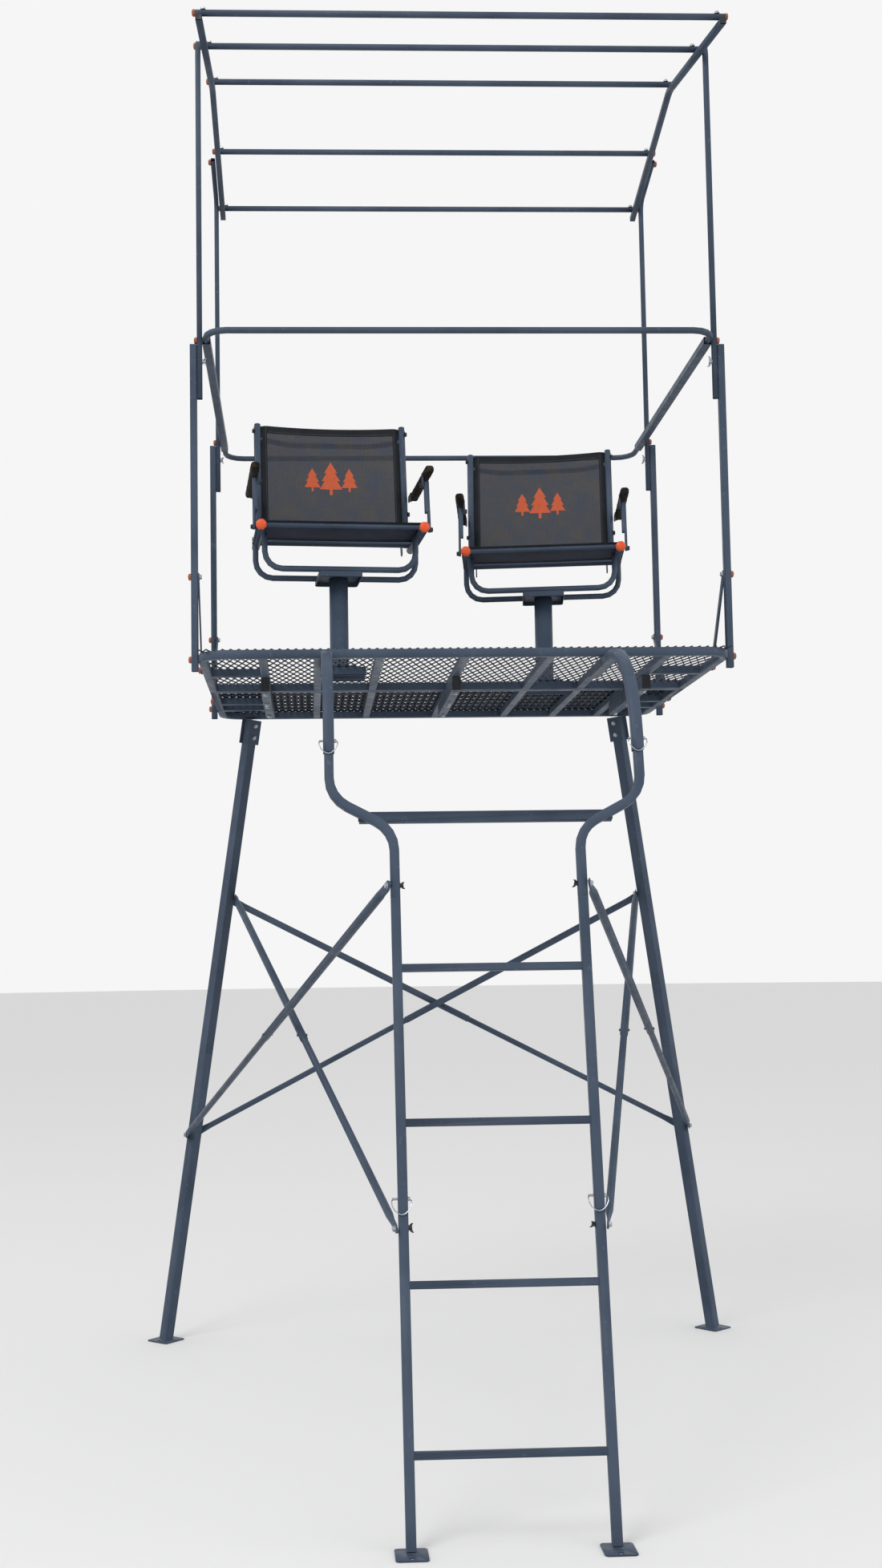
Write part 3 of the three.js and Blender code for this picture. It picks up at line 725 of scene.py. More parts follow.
@dataclass
class SteelFrame:
    """The welded and bent steel, carried over from the CAD with its facets shaded round."""

    bodies: dict[str, str]
    soft: tuple[str, ...] = ("_sling", "_armrest_", "deck_")
    smooth_angle: float = 38.0

    def build(self) -> None:
        """Copy, merge and smooth each steel node in its node's place."""
        for node, body in self.bodies.items():
            if any(word in node for word in self.soft):
                continue
            self.carry(node, body)

    def carry(self, node: str, body: str) -> None:
        """Put one node's merged and smoothed copy in its place.

        Args:
            node: the CAD node.
            body: what it rides on.
        """
        source = bpy.data.objects[node]
        steel = copied(source, f"{node}_steel", Matrix.Identity(4))
        for key in [k for k in steel.keys() if k.startswith("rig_")]:
            del steel[key]
        with editing(steel, "VERT", lambda v: True):
            bpy.ops.mesh.remove_doubles(threshold=0.01 * MM)
        smoothed(steel, self.smooth_angle)
        mount(steel, body, Coat.FRAME)
        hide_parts(node)


# ------------------------------------------------------------------ deck


@dataclass
class Deck:
    """The two halves of the expanded-steel floor."""

    columns: int = 66
    rows: int = 8
    strand: dict[int, float] = field(default_factory=lambda: {1: 5.6, -1: 11.6})
    thickness: dict[int, float] = field(default_factory=lambda: {1: 3.9, -1: 5.9})
    lean: float = 3.4
    # shares of a strand's width: a half strand's own, and the knot's across and along
    half_strand: float = 0.5
    knot: Span = (1.2, 3.6)

    def build(self) -> None:
        """Lay both halves where the CAD has its plates."""
        for end, way in ENDS.items():
            node = f"deck_{end}"
            low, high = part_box(node)
            obj = self.half(f"{node}_mesh", low, high, way)
            mount(obj, "tower", Coat.DECK)
            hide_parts(node)

    def cell(self, pitch_x: float, pitch_y: float, way: int) -> Obj:
        """One crossing with its four half strands, all tilted as the slit sheet was drawn.

        Args:
            pitch_x: the cell's width in metres.
            pitch_y: the cell's depth in metres.
            way: one where the strands' tops tilt rearward, minus one on the turned half.

        Returns:
            The crossing, its middle at the origin.
        """
        strand, thickness = self.strand[way], self.thickness[way]
        arms = []
        for way_x in (-1, 1):
            for way_y in (-1, 1):
                end = Vector((way_x * pitch_x / 2, way_y * pitch_y / 2, 0))
                length = end.length / MM
                arm = block((strand * self.half_strand, length, thickness), (0, length / 2, 0))
                arm.data.transform(end.to_track_quat("Y", "Z").to_matrix().to_4x4())
                arms.append(arm)
        across, along = self.knot
        knot = block((strand * across, strand * along, thickness), (0, 0, 0))
        arms.append(bevelled(knot, 0.8, 1, 80))
        crossing = joined(arms)
        with editing(crossing, "VERT", lambda v: v.co.z > 0):
            bpy.ops.transform.translate(value=(0, way * self.lean * MM, 0))
        return crossing

    def half(self, name: str, low: Vector, high: Vector, way: int) -> Obj:
        """Repeat the cell over one half.

        Args:
            name: the piece's name.
            low: the half's lowest corner.
            high: its highest corner.
            way: which way its strands tilt.

        Returns:
            The finished floor half.
        """
        pitch_x = (high.x - low.x) / self.columns
        pitch_y = (high.y - low.y) / self.rows
        mesh = self.cell(pitch_x, pitch_y, way)
        for axis, count, pitch in ((0, self.columns, pitch_x), (1, self.rows, pitch_y)):
            step = [0.0, 0.0, 0.0]
            step[axis] = pitch
            modified(
                mesh,
                "ARRAY",
                count=count,
                use_relative_offset=False,
                use_constant_offset=True,
                constant_offset_displace=step,
            )
        middle = low.z + self.thickness[way] * MM / 2
        mesh.data.transform(Matrix.Translation((low.x + pitch_x / 2, low.y + pitch_y / 2, middle)))
        return smoothed(named(mesh, name), 30)


# ------------------------------------------------------------------ fixings on the tower


@dataclass
class Layout:
    """Where the tower's lines run, in millimetres from the platform's front edge."""

    half_width: float = 248.5
    foot_y: float = -779.0
    lean: float = 0.1808
    rail: float = 25.0
    leg_foot: Vector = field(default_factory=lambda: Vector((1028, 1507, 0)))
    leg_top: Vector = field(default_factory=lambda: Vector((681, 1298, 2305)))
    leg_tube: float = 38.0
    front_m: float = 0.0

    def on_ladder(self, x: float, z: float) -> Vector:
        """A point on a ladder rail's middle line."""
        return Vector((x, self.foot_y + self.lean * z, z))

    def on_leg(self, side: int, z: float) -> Vector:
        """A point on a rear leg's middle line."""
        point = self.leg_foot.lerp(self.leg_top, z / self.leg_top.z)
        return Vector((side * point.x, point.y, point.z))

    def placed(self, point: Vector) -> Vector:
        """A platform point in the shared frame, in metres."""
        return point * MM + Vector((0, self.front_m, 0))


@dataclass
class Fixings:
    """The tower's bolts, pins, caps and plugs. An x is measured out from the middle."""

    hardware: Hardware
    layout: Layout
    # the ladder's pins and its flare
    pin_z: float = 814
    flare_x: float = 419
    flare_pin_off: float = 15
    flare_pin_z: float = 2004
    crossbar_end: Span = (340, 1797)
    crossbar_off: tuple[float, float, float] = (0, 21.1, -3.8)
    # the braces' ends
    brace_z: dict[str, float] = field(
        default_factory=lambda: {
            "leg_high": 1640, "leg_low": 765, "rail_high": 1609, "rail_low": 744
        }
    )
    leg_gap: float = 4
    rail_gap: float = 6.5
    flat_end: float = 2.5
    spacer: float = 27
    spacer_back: float = 30.5
    # the rear legs' cheeks
    cheek: float = 3.6
    cheek_bolts: Span = (28, 72)
    # the splice beams
    beam_x: tuple[float, ...] = (-608, 0, 608)
    beam_ends: dict[int, float] = field(default_factory=lambda: {-1: 366, 1: 964})
    beam_z: float = 2282.7
    beam_bolts: tuple[float, ...] = (410, 640, 690, 920)
    beam_bottom: float = 2260.6
    # the posts, their straps and the shooting rail
    post_y: dict[str, float] = field(default_factory=lambda: {"front": 96, "rear": 1135})
    post_face: float = 821.6
    post_low_z: float = 2317
    strap_z: float = 2570
    strap_reach: float = 191
    strap_face: float = 804.8
    strap_back: float = 796.6
    rail_face: float = 800.1
    rail_z: float = 3302
    wing_face: float = 783.8
    wing_z: float = 3236
    # the roof
    bars: tuple[float, ...] = (-191, 122, 508, 850, 1160)
    bars_beside_posts: tuple[int, ...] = (2,)
    bar_bolt_x: float = 758
    bar_bolt_rise: float = 9.3
    bar_sink: float = 0.6
    roof_rail_x: float = 770
    roof_rail_z: dict[int, float] = field(default_factory=lambda: {-1: 4179 - 23.4, 1: 4201 - 24.9})
    plug_sink: float = 1.5
    post_top_x: float = 800.2
    post_top_y: dict[str, float] = field(default_factory=lambda: {"front": 148, "rear": 918})
    post_top_drop: float = 11
    count: int = 0

    def build(self) -> None:
        """Place every fixing, from the ground up."""
        self.ladder()
        self.braces()
        self.leg_tops()
        self.platform()
        self.posts()
        self.roof()

    def put(
        self, kind: Kind, word: str, at: Vector, axis: Sequence[float], coat: Coat, roll: float = 0
    ) -> None:
        """Place one fixing at a platform point.

        Args:
            kind: which piece.
            word: what its name says it belongs to.
            at: the platform point in millimetres.
            axis: the way it points.
            coat: its finish.
            roll: its turn about that axis in degrees.
        """
        self.count += 1
        name = f"{word}_{kind.value}_{self.count:03d}"
        self.hardware.put(
            kind, name, facing(self.layout.placed(at), Vector(axis), roll), "tower", coat
        )

    def ladder(self) -> None:
        """Hitch pins and bolts at the ladder's take-apart joints, and plugs in the crossbar."""
        lay = self.layout
        half = lay.rail / 2
        for side in SIDES.values():
            x = side * lay.half_width
            pin = lay.on_ladder(x + half, self.pin_z)
            self.put(Kind.HITCH_PIN, "ladder", pin, (1, 0, 0), Coat.ZINC)
            for end in ("rail_low", "rail_high"):
                at = lay.on_ladder(x - side * half, self.brace_z[end])
                self.put(Kind.WING_BOLT, "ladder", at, (-side, 0, 0), Coat.BLACK, roll=35)
            pin = lay.on_ladder(side * self.flare_x + self.flare_pin_off, self.flare_pin_z)
            self.put(Kind.HITCH_PIN, "leg", pin, (1, 0, 0), Coat.ZINC)
            reach, height = self.crossbar_end
            bar = lay.on_ladder(side * reach, height) + Vector(self.crossbar_off)
            self.put(Kind.SQUARE_PLUG, "crossbar", bar, (side, 0, 0), Coat.BLACK)

    def braces(self) -> None:
        """A bolt through each brace's flattened end."""
        lay, z = self.layout, self.brace_z
        stand_off = lay.leg_tube * math.sqrt(0.5) + self.leg_gap
        leg_off = stand_off + self.flat_end
        for side in SIDES.values():
            spacer = self.spacer if side < 0 else 0
            for end_side, height in ((side, z["leg_high"]), (-side, z["leg_low"])):
                at = lay.on_leg(end_side, height) + Vector(
                    (0, stand_off + spacer + self.flat_end, 0)
                )
                self.put(Kind.HEX_BOLT, "brace", at, (0, 1, 0), Coat.ZINC, roll=11)
                if spacer:
                    sleeve = at - Vector((0, self.spacer_back, 0))
                    self.put(Kind.SLEEVE, "brace", sleeve, (0, 1, 0), Coat.ZINC)
            leg_high, rail_low = lay.on_leg(side, z["leg_high"]), lay.on_ladder(
                side * lay.half_width, z["rail_low"]
            )
            run = leg_high - rail_low
            run.z = 0
            run.normalize()
            normal = Vector((run.y, -run.x, 0)) * side
            rail_off = lay.rail * 0.5 * (abs(normal.x) + abs(normal.y)) + self.rail_gap
            ends = (
                (leg_high, -leg_off),
                (lay.on_leg(side, z["leg_low"]), leg_off),
                (rail_low, rail_off),
                (lay.on_ladder(side * lay.half_width, z["rail_high"]), rail_off),
            )
            for point, offset in ends:
                axis = normal * math.copysign(1, offset)
                self.put(Kind.HEX_BOLT, "brace", point + normal * offset, axis, Coat.ZINC, roll=17)

    def leg_tops(self) -> None:
        """Two bolts through the cheeks at each rear leg's top."""
        lay = self.layout
        reach = lay.leg_tube / 2 + self.cheek
        for side in SIDES.values():
            top = lay.on_leg(side, lay.leg_top.z)
            along = (lay.on_leg(side, 0) - top).normalized()
            across = along.cross(Vector((1, side, 0))).normalized()
            normal = across.cross(along)
            for down in self.cheek_bolts:
                for way in (-1, 1):
                    at = top + along * down + normal * way * reach
                    self.put(Kind.HEX_BOLT, "leg", at, normal * way, Coat.ZINC, roll=8)

    def platform(self) -> None:
        """Plugs in the splice beams and bolts up through their ends."""
        for x in self.beam_x:
            for way, y in self.beam_ends.items():
                self.put(
                    Kind.BEAM_PLUG, "beam", Vector((x, y, self.beam_z)), (0, way, 0), Coat.BLACK
                )
            for y in self.beam_bolts:
                at = Vector((x, y, self.beam_bottom))
                self.put(Kind.HEX_BOLT, "beam", at, (0, 0, -1), Coat.ZINC, roll=15)

    def posts(self) -> None:
        """Covers and bolts where the posts meet the platform, their straps and the rail."""
        for end, way in ENDS.items():
            y = self.post_y[end]
            for side in SIDES.values():
                covers = (
                    ("post", self.post_face, y, self.post_low_z),
                    ("post", self.post_face, y, self.strap_z),
                    ("strap", self.strap_face, y + way * self.strap_reach, self.post_low_z),
                )
                for word, x, cover_y, z in covers:
                    self.put(
                        Kind.SMALL_CAP,
                        word,
                        Vector((side * x, cover_y, z)),
                        (side, 0, 0),
                        Coat.RUST,
                    )
                bolt = Vector((side * self.strap_back, y, self.strap_z))
                self.put(Kind.HEX_BOLT, "strap", bolt, (-side, 0, 0), Coat.ZINC)
                cover = Vector((side * self.rail_face, y, self.rail_z))
                self.put(Kind.SMALL_CAP, "rail", cover, (side, 0, 0), Coat.RUST)
                wing = Vector((side * self.wing_face, y, self.wing_z))
                self.put(Kind.WING_BOLT, "post", wing, (-side, 0, 0), Coat.ZINC, roll=60)

    def roof(self) -> None:
        """Covers on the cross bars' ends, bolts where they cross the side rails, and plugs."""
        for index, y in enumerate(self.bars, 1):
            low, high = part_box(f"roof_bar_{index}")
            z = (low.z + high.z) / 2 / MM
            for side in SIDES.values():
                if index not in self.bars_beside_posts:
                    end = Vector((side * (high.x / MM - self.bar_sink), y, z))
                    self.put(Kind.SMALL_CAP, "roof", end, (side, 0, 0), Coat.RUST)
                bolt = Vector((side * self.bar_bolt_x, y, z + self.bar_bolt_rise))
                self.put(Kind.HEX_BOLT, "roof", bolt, (0, 0, 1), Coat.ZINC, roll=25)
        for word, side in SIDES.items():
            low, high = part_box(f"roof_rail_{word}")
            for y_m, way in ((low.y, -1), (high.y, 1)):
                y = (y_m - self.layout.front_m) / MM - way * self.plug_sink
                end = Vector((side * self.roof_rail_x, y, self.roof_rail_z[way]))
                self.put(Kind.SQUARE_PLUG, "roof", end, (0, way, 0), Coat.BLACK)
            for end, y in self.post_top_y.items():
                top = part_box(f"post_upper_{end}_{word}")[1].z / MM
                at = Vector((side * self.post_top_x, y, top - self.post_top_drop))
                self.put(Kind.SMALL_CAP, "roof", at, (side, 0, 0), Coat.RUST)


# ------------------------------------------------------------------ chairs


def sheet_mesh(
    name: str, grid: tuple[int, int], spans: Spans, shape: Surface, thickness: float
) -> Obj:
    """Make a sheet of cloth from a grid, its UVs in metres.

    Args:
        name: the piece's name.
        grid: its columns and rows of cells.
        spans: the range of the cloth's own two coordinates, in millimetres.
        shape: takes those two coordinates to a point in metres.
        thickness: in millimetres.

    Returns:
        The sheet.
    """
    deselect()
    bpy.ops.mesh.primitive_grid_add(x_subdivisions=grid[0], y_subdivisions=grid[1], size=2)
    obj = bpy.context.object
    obj.name = obj.data.name = name
    (u_low, u_high), (v_low, v_high) = spans

    def cloth(x: float, y: float) -> tuple[float, float]:
        return u_low + (x + 1) / 2 * (u_high - u_low), v_low + (y + 1) / 2 * (v_high - v_low)

    marks = [cloth(v.co.x, v.co.y) for v in obj.data.vertices]
    layer = obj.data.uv_layers.active.data
    for loop in obj.data.loops:
        layer[loop.index].uv = [c * MM for c in marks[loop.vertex_index]]
    for vertex, mark in zip(obj.data.vertices, marks):
        vertex.co = shape(*mark)
    modified(obj, "SOLIDIFY", thickness=thickness * MM, offset=0)
    return smoothed(obj, 50)


@dataclass
class Sling:
    """One stretched cloth, given by its own two coordinates in millimetres.

    Args:
        part: the chair's part that it hangs on.
        coat: its finish.
        point: takes its two coordinates to a point in metres.
        grid: its columns and rows of cells.
        spans: the range of its two coordinates.
        hems: for each hem, its grid and its spans.
        rows: for each stitch row, its line and the line's span.
        normal: the way it faces.
        rests_on: the CAD node that holds it; not used.
    """

    part: str
    coat: Coat
    point: Surface
    grid: tuple[int, int]
    spans: Spans
    hems: dict[str, tuple[tuple[int, int], Spans]]
    rows: dict[str, tuple[Line, Span]]
    normal: Vector
    rests_on: str


@dataclass
class Chair:
    """One swivel chair: slings, padded arms, caps, swivel and pivots."""

    name: str
    centre: Span
    turn: float
    hardware: Hardware
    layout: Layout
    deck_top: float = 2331.5
    # the seat's rails and cloth
    rail_x: float = 256.0
    rail_z: float = 428.0
    rail_span: Span = (-160.0, 148.0)
    rail_wrap: float = 14.5
    seat_cloth: Span = (-157.0, 89.0)
    seat_hem: float = 24.0
    seat_wrap_turn: float = math.radians(125)
    # how far the seat sags, and the wave that fades it towards its ends
    slack: float = 7.0
    slack_from: float = -168.0
    slack_over: float = 282.0
    # the back's tubes and cloth
    back_tube_x: float = 243.0
    back_wrap: float = 11.4
    back_cloth: Span = (27.0, 401.0)
    back_wrap_turn: float = math.radians(165)
    # how far the back bellies, its set at each edge, and the dip of its top
    hollow: float = 15.0
    hollow_from: float = -60.0
    hollow_over: float = 560.0
    edge: float = 7.5
    edge_share: float = 0.07
    dip: float = 5.0
    dip_from: float = 320.0
    dip_over: float = 82.0
    back_bolts_up: dict[str, float] = field(default_factory=lambda: {"top": 384, "bottom": 96})
    # cloth and stitches
    cloth_thick: float = 1.0
    hem_thick: float = 2.2
    stitch: float = 4.6
    stitch_pitch: float = 7.0
    # the fir trees: each one's x and scale, and each tier's height and half width
    trees: tuple[Span, ...] = ((-62, 1.2), (0, 1.7), (62, 1.2))
    tiers: tuple[Span, ...] = ((0, 26), (15, 21), (29, 15))
    print_up: float = 205.0
    print_lift: float = 0.75
    # the linkage
    pivot: Span = (165.0, 462.0)
    back_lean: float = math.radians(8)
    link: float = 150.0
    arm_x: float = 273.0
    arm_setback: float = 16.0
    lug_x: float = 260.5
    front_lug_x: float = 260.0
    strut_foot: Span = (-130.0, 428.0)
    # where each pivot's hardware stands out from the middle
    tab_x: float = 227.5
    pivot_bolt_x: float = 259.6
    knob_x: float = 225.4
    back_bolt_x: float = 253.4
    arm_bolt_x: float = 263.1
    foot_bolt_x: float = 280.1
    top_bolt_x: float = 257.4
    # the mount under the deck and the swivel
    channel: tuple[float, float, float] = (164, 42, 22)
    channel_y: float = 58.0
    channel_z: float = 2318.6
    channel_bolt: Span = (48.0, 2326.0)
    flange_bolt: Span = (40.0, 8.4)
    lip: tuple[float, float, float] = (134, 156, 16)
    lip_z: float = 294.7
    spacer: tuple[float, float, float] = (112, 116, 8)
    spacer_z: float = 306.6
    swivel_bolts: tuple[Span, ...] = ((-42, -44), (42, -44), (-42, 44), (42, 44))
    swivel_bolt_z: float = 310.7

    def __post_init__(self) -> None:
        """Work out the chair's own frame and its pivots."""
        x, y = self.centre
        base = self.layout.placed(Vector((x, y, self.deck_top)))
        self.frame = Matrix.Translation(base) @ Matrix.Rotation(math.radians(self.turn), 4, "Z")
        rise = Vector((0, math.sin(self.back_lean), math.cos(self.back_lean))) * self.link
        self.arm_pivot = Vector((0, *self.pivot)) + rise
        self.strut_top = Vector((0, *self.strut_foot)) + rise

    def at(self, x: float, y: float, z: float) -> Vector:
        """A point of the chair's own frame, in the shared frame."""
        return self.frame @ mm(x, y, z)

    def way(self, x: float, y: float, z: float) -> Vector:
        """A direction of the chair's own frame, in the shared frame."""
        return self.frame.to_3x3() @ Vector((x, y, z))

    def on_back(self, x: float, up: float, behind: float) -> Vector:
        """A point by its distance up the back and behind the tubes' plane."""
        sine, cosine = math.sin(self.back_lean), math.cos(self.back_lean)
        y, z = self.pivot
        return self.at(x, y + up * sine + behind * cosine, z + up * cosine - behind * sine)

    def build(self, arm_pad: Obj) -> None:
        """Build the whole chair.

        Args:
            arm_pad: the stuffed arm sleeve that each arm takes a copy of.
        """
        self.seat_sling()
        self.back_sling()
        self.motif()
        self.arms(arm_pad)
        self.rail_ends()
        self.pivots()
        self.back_bolts()
        self.swivel()
        self.deck_mount()

    # the seat

    def seat_point(self, u: float, v: float) -> Vector:
        """The seat cloth at u across and v back: slack in the middle, then round the rails."""
        side = math.copysign(1, u)
        across = abs(u)
        top = self.rail_z + self.rail_wrap
        if across <= self.rail_x:
            middle = (1 - (across / self.rail_x) ** 2) ** 1.3
            along = math.sin(math.pi * (v - self.slack_from) / self.slack_over) ** 1.5
            return self.at(u, v, top - self.slack * middle * along)
        angle = (across - self.rail_x) / self.rail_wrap
        x = self.rail_x + self.rail_wrap * math.sin(angle)
        return self.at(side * x, v, self.rail_z + self.rail_wrap * math.cos(angle))

    def seat_sling(self) -> None:
        """The seat's cloth with its front and rear hems and their stitches."""
        half = self.rail_x + self.rail_wrap * self.seat_wrap_turn
        across = (-half, half)
        front, rear = self.seat_cloth
        self.hang(
            Sling(
                part="seat",
                coat=Coat.SEAT,
                point=self.seat_point,
                grid=(72, 24),
                spans=(across, (front, rear)),
                hems={
                    "front": ((72, 3), (across, (front, front + self.seat_hem))),
                    "rear": ((72, 3), (across, (rear - self.seat_hem, rear))),
                },
                rows={
                    "front": (lambda t: self.seat_point(t, front + 20), (-240, 240)),
                    "rear": (lambda t: self.seat_point(t, rear - 20), (-240, 240)),
                },
                normal=Vector((0, 0, 1)),
                rests_on=f"{self.name}_seat_base",
            )
        )

    def hang(self, sling: Sling) -> None:
        """Stretch one cloth over its tubes, with its hems and stitch rows.

        Args:
            sling: the cloth.
        """
        body = f"{self.name}_{sling.part}"
        cloth = sheet_mesh(f"{body}_cloth", sling.grid, sling.spans, sling.point, self.cloth_thick)
        mount(cloth, body, sling.coat)
        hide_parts(f"{body}_sling")
        for word, (grid, spans) in sling.hems.items():
            hem = sheet_mesh(f"{body}_hem_{word}", grid, spans, sling.point, self.hem_thick)
            mount(hem, body, Coat.HEM)
        for word, (line, span) in sling.rows.items():
            row = self.stitches(f"{body}_stitch_{word}", line, span, sling.normal)
            mount(row, body, Coat.THREAD)

    def stitches(self, name: str, line: Line, span: Span, normal: Vector) -> Obj:
        """A row of thread stitches along a line, standing out on both faces.

        Args:
            name: the row's name.
            line: takes millimetres along to a point.
            span: where the row starts and ends.
            normal: the way the cloth faces.

        Returns:
            The row as one mesh.
        """
        template = bevelled(block((self.stitch, 1.5, 3.4), (0, 0, 0)), 0.5, 1)
        parts = []
        t = span[0]
        while t + self.stitch < span[1]:
            start, end = line(t), line(t + self.stitch)
            axis = (end - start).normalized()
            side = normal.cross(axis).normalized()
            basis = Matrix((axis, side, axis.cross(side))).transposed().to_4x4()
            parts.append(copied(template, name, Matrix.Translation((start + end) / 2) @ basis))
            t += self.stitch_pitch
        bpy.data.objects.remove(template)
        return smoothed(named(joined(parts), name), 30)

    # the back

    def back_point(self, u: float, v: float) -> Vector:
        """The back cloth at u across and v up: hollowed, then in round the tubes' rear."""
        side = math.copysign(1, u)
        across = abs(u)
        inner = self.back_tube_x - self.back_wrap
        if across <= inner:
            part = across / inner
            bow = 1 - part**2
            rise = math.sin(math.pi * (v - self.hollow_from) / self.hollow_over)
            edge = self.edge * min(1, (1 - part) / self.edge_share)
            dip = self.dip * bow * max(0, (v - self.dip_from) / self.dip_over)
            return self.on_back(u, v - dip, self.hollow * bow * rise - edge)
        angle = math.pi - (across - inner) / self.back_wrap
        x = self.back_tube_x + self.back_wrap * math.cos(angle)
        return self.on_back(side * x, v, self.back_wrap * math.sin(angle))

    def back_sling(self) -> None:
        """The back's cloth with a hem and a stitch row on each edge."""
        inner = self.back_tube_x - self.back_wrap
        half = inner + self.back_wrap * self.back_wrap_turn
        low, high = self.back_cloth
        across, along = (-half, half), (low, high)
        level, upright = (-205, 205), (low + 6, high - 6)
        self.hang(
            Sling(
                part="back",
                coat=Coat.SLING,
                point=self.back_point,
                grid=(80, 40),
                spans=(across, along),
                hems={
                    "top": ((80, 3), (across, (high - 26, high))),
                    "bottom": ((80, 3), (across, (low, low + 20))),
                    "left": ((8, 40), ((-half, -inner + 20), along)),
                    "right": ((8, 40), ((inner - 20, half), along)),
                },
                rows={
                    "top": (lambda t: self.back_point(t, high - 21), level),
                    "bottom": (lambda t: self.back_point(t, low + 16), level),
                    "left": (lambda t: self.back_point(-inner + 16, t), upright),
                    "right": (lambda t: self.back_point(inner - 16, t), upright),
                },
                normal=self.off_back(1).normalized(),
                rests_on=f"{self.name}_back_frame",
            )
        )

    def off_back(self, distance: float) -> Vector:
        """The step of some millimetres forward, square to the back."""
        return self.on_back(0, 0, -distance) - self.on_back(0, 0, 0)

    def motif(self) -> None:
        """A plain printed row of three fir trees on the back cloth."""
        parts = []
        for x, size in self.trees:
            for base, half in self.tiers:
                deselect()
                bpy.ops.mesh.primitive_circle_add(
                    vertices=3, radius=half * size * MM, fill_type="NGON"
                )
                tier = settled()
                tier.data.transform(Matrix.Translation(mm(x, base * size, 0)))
                parts.append(tier)
            parts.append(block((6 * size, 14 * size, 0.01), (x, -18 * size, 0)))
        print_mesh = named(joined(parts), f"{self.name}_back_print")
        modified(print_mesh, "SUBSURF", levels=2, render_levels=2, subdivision_type="SIMPLE")
        lift = self.off_back(self.print_lift)
        for vertex in print_mesh.data.vertices:
            x, y = vertex.co.x / MM, vertex.co.y / MM
            vertex.co = self.back_point(x, self.print_up + y) + lift
        modified(print_mesh, "SOLIDIFY", thickness=0.2 * MM, offset=1)
        mount(print_mesh, f"{self.name}_back", Coat.INK)

    # the arms

    def arms(self, pad: Obj) -> None:
        """Both padded arms on their steel lugs.

        Args:
            pad: the stuffed sleeve, its rear end at the origin, running towards -Y.
        """
        pivot, top = self.arm_pivot, self.strut_top
        rear = pivot.y - self.arm_setback
        body = f"{self.name}_arms"
        for hand, side in SIDES.items():
            place = self.frame @ Matrix.Translation(mm(side * self.arm_x, rear, pivot.z))
            sleeve = copied(
                pad, f"{self.name}_arm_pad_{hand}", place @ Matrix.Scale(side, 4, (1, 0, 0))
            )
            mount(sleeve, body, Coat.SLEEVE)
            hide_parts(f"{self.name}_armrest_{hand}")
            rear_x, front_x = side * self.lug_x, side * self.front_lug_x
            lugs = [
                self.lug((rear_x, pivot.y, pivot.z), (rear_x, rear - 30, pivot.z), 11),
                self.lug((front_x, top.y, pivot.z - 4), (front_x, top.y, top.z), 10),
            ]
            steel = named(joined(lugs), f"{self.name}_arm_lugs_{hand}")
            mount(steel, body, Coat.FRAME)

    def lug(
        self, start: Sequence[float], end: Sequence[float], radius: float, thickness: float = 5
    ) -> Obj:
        """A flat lug with round ends, square to the chair's X.

        Args:
            start: one end's centre in the chair's frame.
            end: the other end's centre.
            radius: of both ends.
            thickness: of the plate.

        Returns:
            The lug in the shared frame.
        """
        first, last = Vector(start), Vector(end)
        plate = prism(24, radius, -thickness / 2, thickness)
        length = (last - first).length
        with editing(plate, "VERT", lambda v: v.co.y > 1e-6):
            bpy.ops.transform.translate(value=(0, length * MM, 0))
        bevelled(plate, 0.7, 1)
        along = (last - first).normalized()
        across = Vector((1, 0, 0))
        basis = Matrix((along.cross(across), along, across)).transposed().to_4x4()
        plate.data.transform(self.frame @ Matrix.Translation(first * MM) @ basis)
        return smoothed(plate, 30)

    # caps, pivots and swivel

    def fix(
        self,
        kind: Kind,
        word: str,
        at: Sequence[float],
        axis: Sequence[float],
        body: str,
        coat: Coat,
    ) -> None:
        """Place one fixing on the chair.

        Args:
            kind: which piece.
            word: the rest of its name.
            at: its point in the chair's frame.
            axis: the way it points there.
            body: the chair's body that it rides on.
            coat: its finish.
        """
        place = facing(self.at(*at), self.way(*axis), FLATS_UP)
        self.hardware.put(kind, f"{self.name}_{word}", place, f"{self.name}_{body}", coat)

    def rail_ends(self) -> None:
        """Orange covers on the seat rails' fronts and black ones behind."""
        for hand, side in SIDES.items():
            x, z = side * self.rail_x, self.rail_z
            front, rear = self.rail_span
            self.fix(
                Kind.DOME_CAP, f"rail_cap_{hand}", (x, front, z), (0, -1, 0), "seat", Coat.ORANGE
            )
            self.fix(
                Kind.SMALL_CAP, f"rail_end_{hand}", (x, rear, z), (0, 1, 0), "seat", Coat.BLACK
            )

